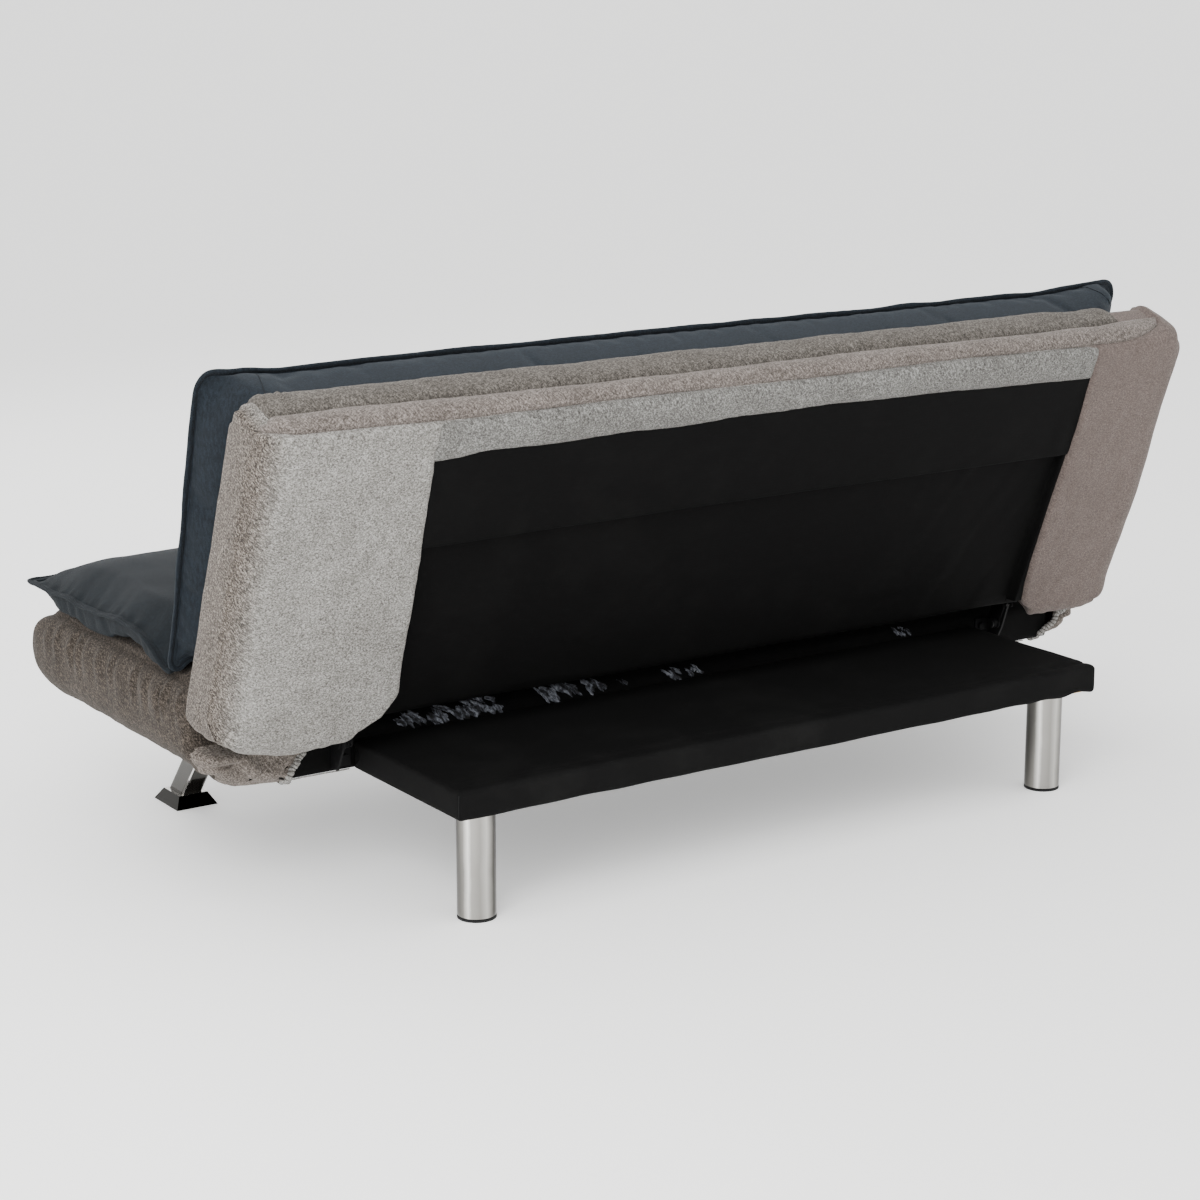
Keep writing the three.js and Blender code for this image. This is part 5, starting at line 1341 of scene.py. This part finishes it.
def seat_pad():
    rest = 355.6

    def seam(a, x):
        middle = np.interp(a, [-466, 62], [386, 372])
        end = np.interp(a, [-466, -371, -312, -263, -168, -105, -53, 6, 62],
                        [381, 382, 388, 386, 389, 396, 392, 383, 368])
        end = end + 0.8 * wander(a, 0 * a, 60, 71)
        return middle + (end - middle) * ease(np.abs(x), 820, 886) + 1.3 * wander(a + x, x * 0.3, 160, 72)

    crown = [(62, 372), (60, 388), (24, 418), (-60, 427), (-180, 428), (-290, 425), (-380, 411), (-440, 394),
             (-466, 386)]
    base = [(62, 372), (59, 362), (48, rest), (0, rest), (-160, rest), (-300, rest), (-345, 358), (-400, 366),
            (-448, 377), (-466, 386)]
    pad = Pad("seat_pad_cushion", crown, base, rest,
              [(0, 0), (8, 0.28), (20, 0.52), (50, 0.82), (115, 1), (200, 1)],
              [(0, 0), (2, 0.42), (5, 0.8), (9, 0.97), (14, 1)], seam, 8)

    def to_world(points):
        """Lets the boxing droop a little over the seat's rounded end."""
        p = np.array(points, float)
        x, y, z = p[..., 0], p[..., 1], p[..., 2]
        droop = ease(np.abs(x), 852, 884) * np.interp(y, [-430, -300, -150, -20, 60], [0, 13, 24, 26, 19])
        p[..., 2] = z - droop * (1 - ease(z, rest + 2, 388))
        return straight(p)

    return finish_pad(pad, to_world, (0, 0, 1), "base", "seat_pad", 4.5, 0.035, 0.014, 73, BLUE_SEAT_SHADED, 0.8)


def back_pad():
    rest = -65.6

    def seam(a, x):
        """Here h is the local y, which falls towards the sitter."""
        middle = -np.interp(a, [20, 500], [150, 200])
        return middle + 1.8 * wander(a, x * 0.4, 170, 81) * ease(np.abs(x), 700, 880)

    crown = [(30, -151), (38, -164), (100, -194), (198, -216), (300, -223), (405, -217), (462, -208), (484, -203),
             (491, -199)]
    base = [(30, -151), (27, -134), (31, -108), (44, -72), (62, rest), (200, rest), (360, rest), (480, rest),
            (494, -74), (499, -112), (499, -150), (497, -184), (491, -199)]
    pad = Pad("back_pad_cushion", crown, base, rest,
              [(0, 0), (8, 0.24), (20, 0.44), (50, 0.74), (120, 0.97), (200, 1)],
              [(0, 0), (8, 0.14), (24, 0.36), (50, 0.6), (84, 0.86), (120, 1)], seam, 30, 0.6)

    def to_world(points):
        p = np.asarray(points, float)
        local = np.stack([p[..., 0], p[..., 2], p[..., 1]], -1)
        # The top edge waves a little along its length.
        x, z = local[..., 0], local[..., 2]
        rise = 3.0 * bell(x - 885, 26) - 4.5 * bell(x - 846, 24) + 1.2 * wander(x, 0 * x, 330, 83)
        rise = rise - 9 * ease(x, -860, -700) * (1 - 0.6 * ease(x, 760, 850)) + 4 * ease(-x, 850, 890)
        foot = 8 * ease(np.abs(x), 856, 882) + 22 * ease(np.abs(x), 864, 890)
        local[..., 2] = z + rise * ease(z, 400, 490) - foot * (1 - ease(z, 40, 140))
        return backrest(local)

    toward = backrest([[0, 0, 0]])[0] - backrest([[0, 1000, 0]])[0]
    obj, _ = finish_pad(pad, to_world, toward / np.linalg.norm(toward), "backrest", "back_pad",
                        4.5, 0.035, 0.014, 84, BLUE)
    # The boxing is joined near each end, on the top edge.
    shape = coordinates(obj.data)
    up = backrest([[0, 0, 1000]])[0] - backrest([[0, 0, 0]])[0]
    steps = [j for j in range(1, pad.steps - 1) if pad.points[pad.base_grid[20, j], 1] > 484]
    for side in (-1, 1):
        line = []
        for j in steps:
            row = pad.points[pad.base_grid[:, j]]
            place = side * (806 + np.clip((row[len(row) // 2, 2] + 190) / 120, 0, 1) * 22)
            line.append([np.interp(place, row[:, 0], shape[pad.base_grid[:, j], i]) for i in range(3)])
        thread("back_pad_boxing_seam_" + ("left" if side < 0 else "right"), np.array(line) + up * 0.0002, 0.0008,
               BLUE_THREAD, "backrest")


# ---- Legs

def tube_leg(name, node, centre, radius, low, high):
    """A turned tube with softly broken edges."""
    profile = [(radius - 6, low + 1.5), (radius - 1.4, low + 0.2), (radius - 0.5, low + 0.6), (radius, low + 1.6)]
    profile += [(radius, z) for z in np.linspace(low + 8, high - 8, 12)]
    profile += [(radius, high - 1.6), (radius - 0.5, high - 0.6), (radius - 1.4, high - 0.2), (radius - 6, high)]
    around = 96
    angles = np.linspace(0, 2 * math.pi, around, endpoint=False)
    points = [[(centre[0] + r * math.cos(a), centre[1] + r * math.sin(a), z) for a in angles] for r, z in profile]
    faces = grid_faces(len(profile), around, close=True)
    faces += [tuple(range(around))[::-1], tuple(range((len(profile) - 1) * around, len(profile) * around))]
    return add_piece(name, straight(points), faces, [CHROME], "base", node)


def legs():
    for side in ("left", "right"):
        low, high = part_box("rear_leg_" + side)
        centre = [(low[i] + high[i]) * 500 for i in (0, 1)]
        radius = (high[0] - low[0]) * 500
        tube_leg("rear_tube_" + side, "rear_leg_" + side, centre, radius, low[2] * 1000, high[2] * 1000)


def smooth_by_angle(obj, degrees, bevel=0.0):
    """Softens a CAD node's shading, and breaks its sharp edges a little."""
    obj.data.polygons.foreach_set("use_smooth", [True] * len(obj.data.polygons))
    if bevel:
        modifier = obj.modifiers.new("edges", "BEVEL")
        modifier.width = bevel
        modifier.segments = 3
        modifier.limit_method = "ANGLE"
        modifier.angle_limit = math.radians(degrees)
        modifier.harden_normals = True
    else:
        modifier = obj.modifiers.new("edges", "EDGE_SPLIT")
        modifier.split_angle = math.radians(degrees)
        modifier.use_edge_sharp = False


def hardware():
    """Every CAD node that stays gets its finish."""
    finishes = {"chrome": CHROME, "steel": STEEL, "timber": TIMBER, "plastic": PLASTIC, "foam": FOAM,
                "black_lining": BLACK, "grey_fabric": GREY_WRAP, "blue_fabric": BLUE}
    for node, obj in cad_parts.items():
        given = obj.data.materials[0].name.split(".")[0] if obj.data.materials else "steel"
        finish = finishes.get(given, STEEL)
        if node.startswith("front_foot"):
            finish = FOOT_CHROME
        elif node.startswith("front_leg"):
            finish = LEG_CHROME
        elif node.startswith(("seat_bracket", "back_bracket", "pawl")):
            finish = BLACK_STEEL
        obj.data.materials.clear()
        obj.data.materials.append(finish)
        smooth_by_angle(obj, 32, 0.0008 if node.startswith(("front_leg_l", "front_leg_r", "front_foot")) else 0.0)


def trimmed_timber(name, node, body, low, high):
    """A timber of the frame, cut back clear of the rounded cover, with broken edges. low and high are in mm."""
    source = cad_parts[node].data
    points = np.clip(coordinates(source), np.array(low) * MM, np.array(high) * MM)
    obj = add_piece(name, points, [list(face.vertices) for face in source.polygons], [TIMBER], body, node)
    smooth_by_angle(obj, 30, 0.0025)


def timbers():
    trimmed_timber("back_top_timber", "back_top_rail", "backrest", (-808, 0, 0), (858, 900, 900))
    trimmed_timber("back_left_arm_timber", "back_left_outrigger", "backrest", (-836, 0, 0), (0, 900, 900))
    trimmed_timber("seat_front_timber", "seat_front_rail", "base", (-800, -900, 190), (800, 0, 900))
    trimmed_timber("seat_rear_timber", "seat_rear_rail", "base", (-803, 0, 187), (803, 152, 900))


# ---- Wadding that shows behind the lining's torn edge

def wadding():
    rng = np.random.default_rng(91)
    n = Nodes("wadding_fluff")
    fluff = n.noise(n.place((1, 1, 0.25), (0, 0.6, 0)), 130, 5, 0.7, 0.6)
    cotton = n.finish(n.ramp(fluff, [(0.40, (5, 5, 6)), (0.48, (48, 50, 56)), (0.60, (118, 122, 131)),
                                     (0.72, (178, 181, 188))]), 0.95, n.bump(fluff, 0.8, 0.002))
    clumps = [(548, 505, 0.9), (488, 440, 1.0), (436, 366, 1.15), (292, 216, 1.2), (214, 162, 0.9), (132, 118, 0.5),
              (38, 16, 0.9), (6, -34, 0.6), (-446, -488, 0.6)]
    # The tufts lie on the lining, which slopes forward above the rail.
    slope = np.array([(158.4, 219), (158, 228), (155.5, 236), (148, 243.5), (140, 249.5), (136, 256), (134.8, 264)])
    run = np.concatenate([[0], np.cumsum(np.linalg.norm(np.diff(slope, axis=0), axis=1))])
    flakes = []
    for a, b, size in clumps:
        for _ in range(int(abs(a - b) / 6) + 2):
            x = rng.uniform(b, a)
            swell = 0.5 + 0.5 * bell(x - (a + b) / 2, abs(a - b) * 0.5)
            flakes.append((x, 8 + rng.uniform(0, 22) * size * swell, rng.uniform(8, 16) * size,
                           rng.uniform(20, 34) * size, rng.uniform(0.5, 0.9), rng.uniform(0, 100)))
    points, faces = [], []
    around, rings = 20, 12
    for x, rise, wide, tall, lean, seed in flakes:
        base = len(points)
        for i in range(rings):
            u = i / (rings - 1)
            radius = math.sin(math.pi * (0.04 + 0.92 * u)) * (0.8 + 0.3 * math.sin(9 * u + seed))
            up = np.clip(rise + (u - 0.5) * tall * 0.8, 0.5, run[-1] - 4)
            y, z = np.interp(up, run, slope[:, 0]), np.interp(up, run, slope[:, 1])
            for k in range(around):
                angle = 2 * math.pi * k / around
                ragged = 1 + 0.28 * math.sin(3 * angle + 5 * u + seed) + 0.2 * math.sin(7 * angle - 9 * u + 2 * seed)
                px = x + radius * ragged * wide * 0.5 * math.cos(angle) + (u - 0.5) * tall * lean
                lift = 0.6 + 2.4 * radius * math.sin(angle) * (1 + 0.3 * math.sin(13 * u + seed))
                points.append((px, y + lift, z + 0.5 * lift))
        for i in range(rings - 1):
            for k in range(around):
                a, b = base + i * around + k, base + i * around + (k + 1) % around
                faces.append((a, b, b + around, a + around))
        faces.append(tuple(base + k for k in range(around))[::-1])
        faces.append(tuple(base + (rings - 1) * around + k for k in range(around)))
    obj = add_piece("seat_wadding", straight(points), faces, [cotton], "base", None)


add_camera()
add_floor_and_lights()
hardware()
back_cover()
crown_panels()
back_linings()
seat_cover()
seat_lining()
raw_edge()
platform()
legs()
timbers()
seat_pad()
back_pad()
wadding()
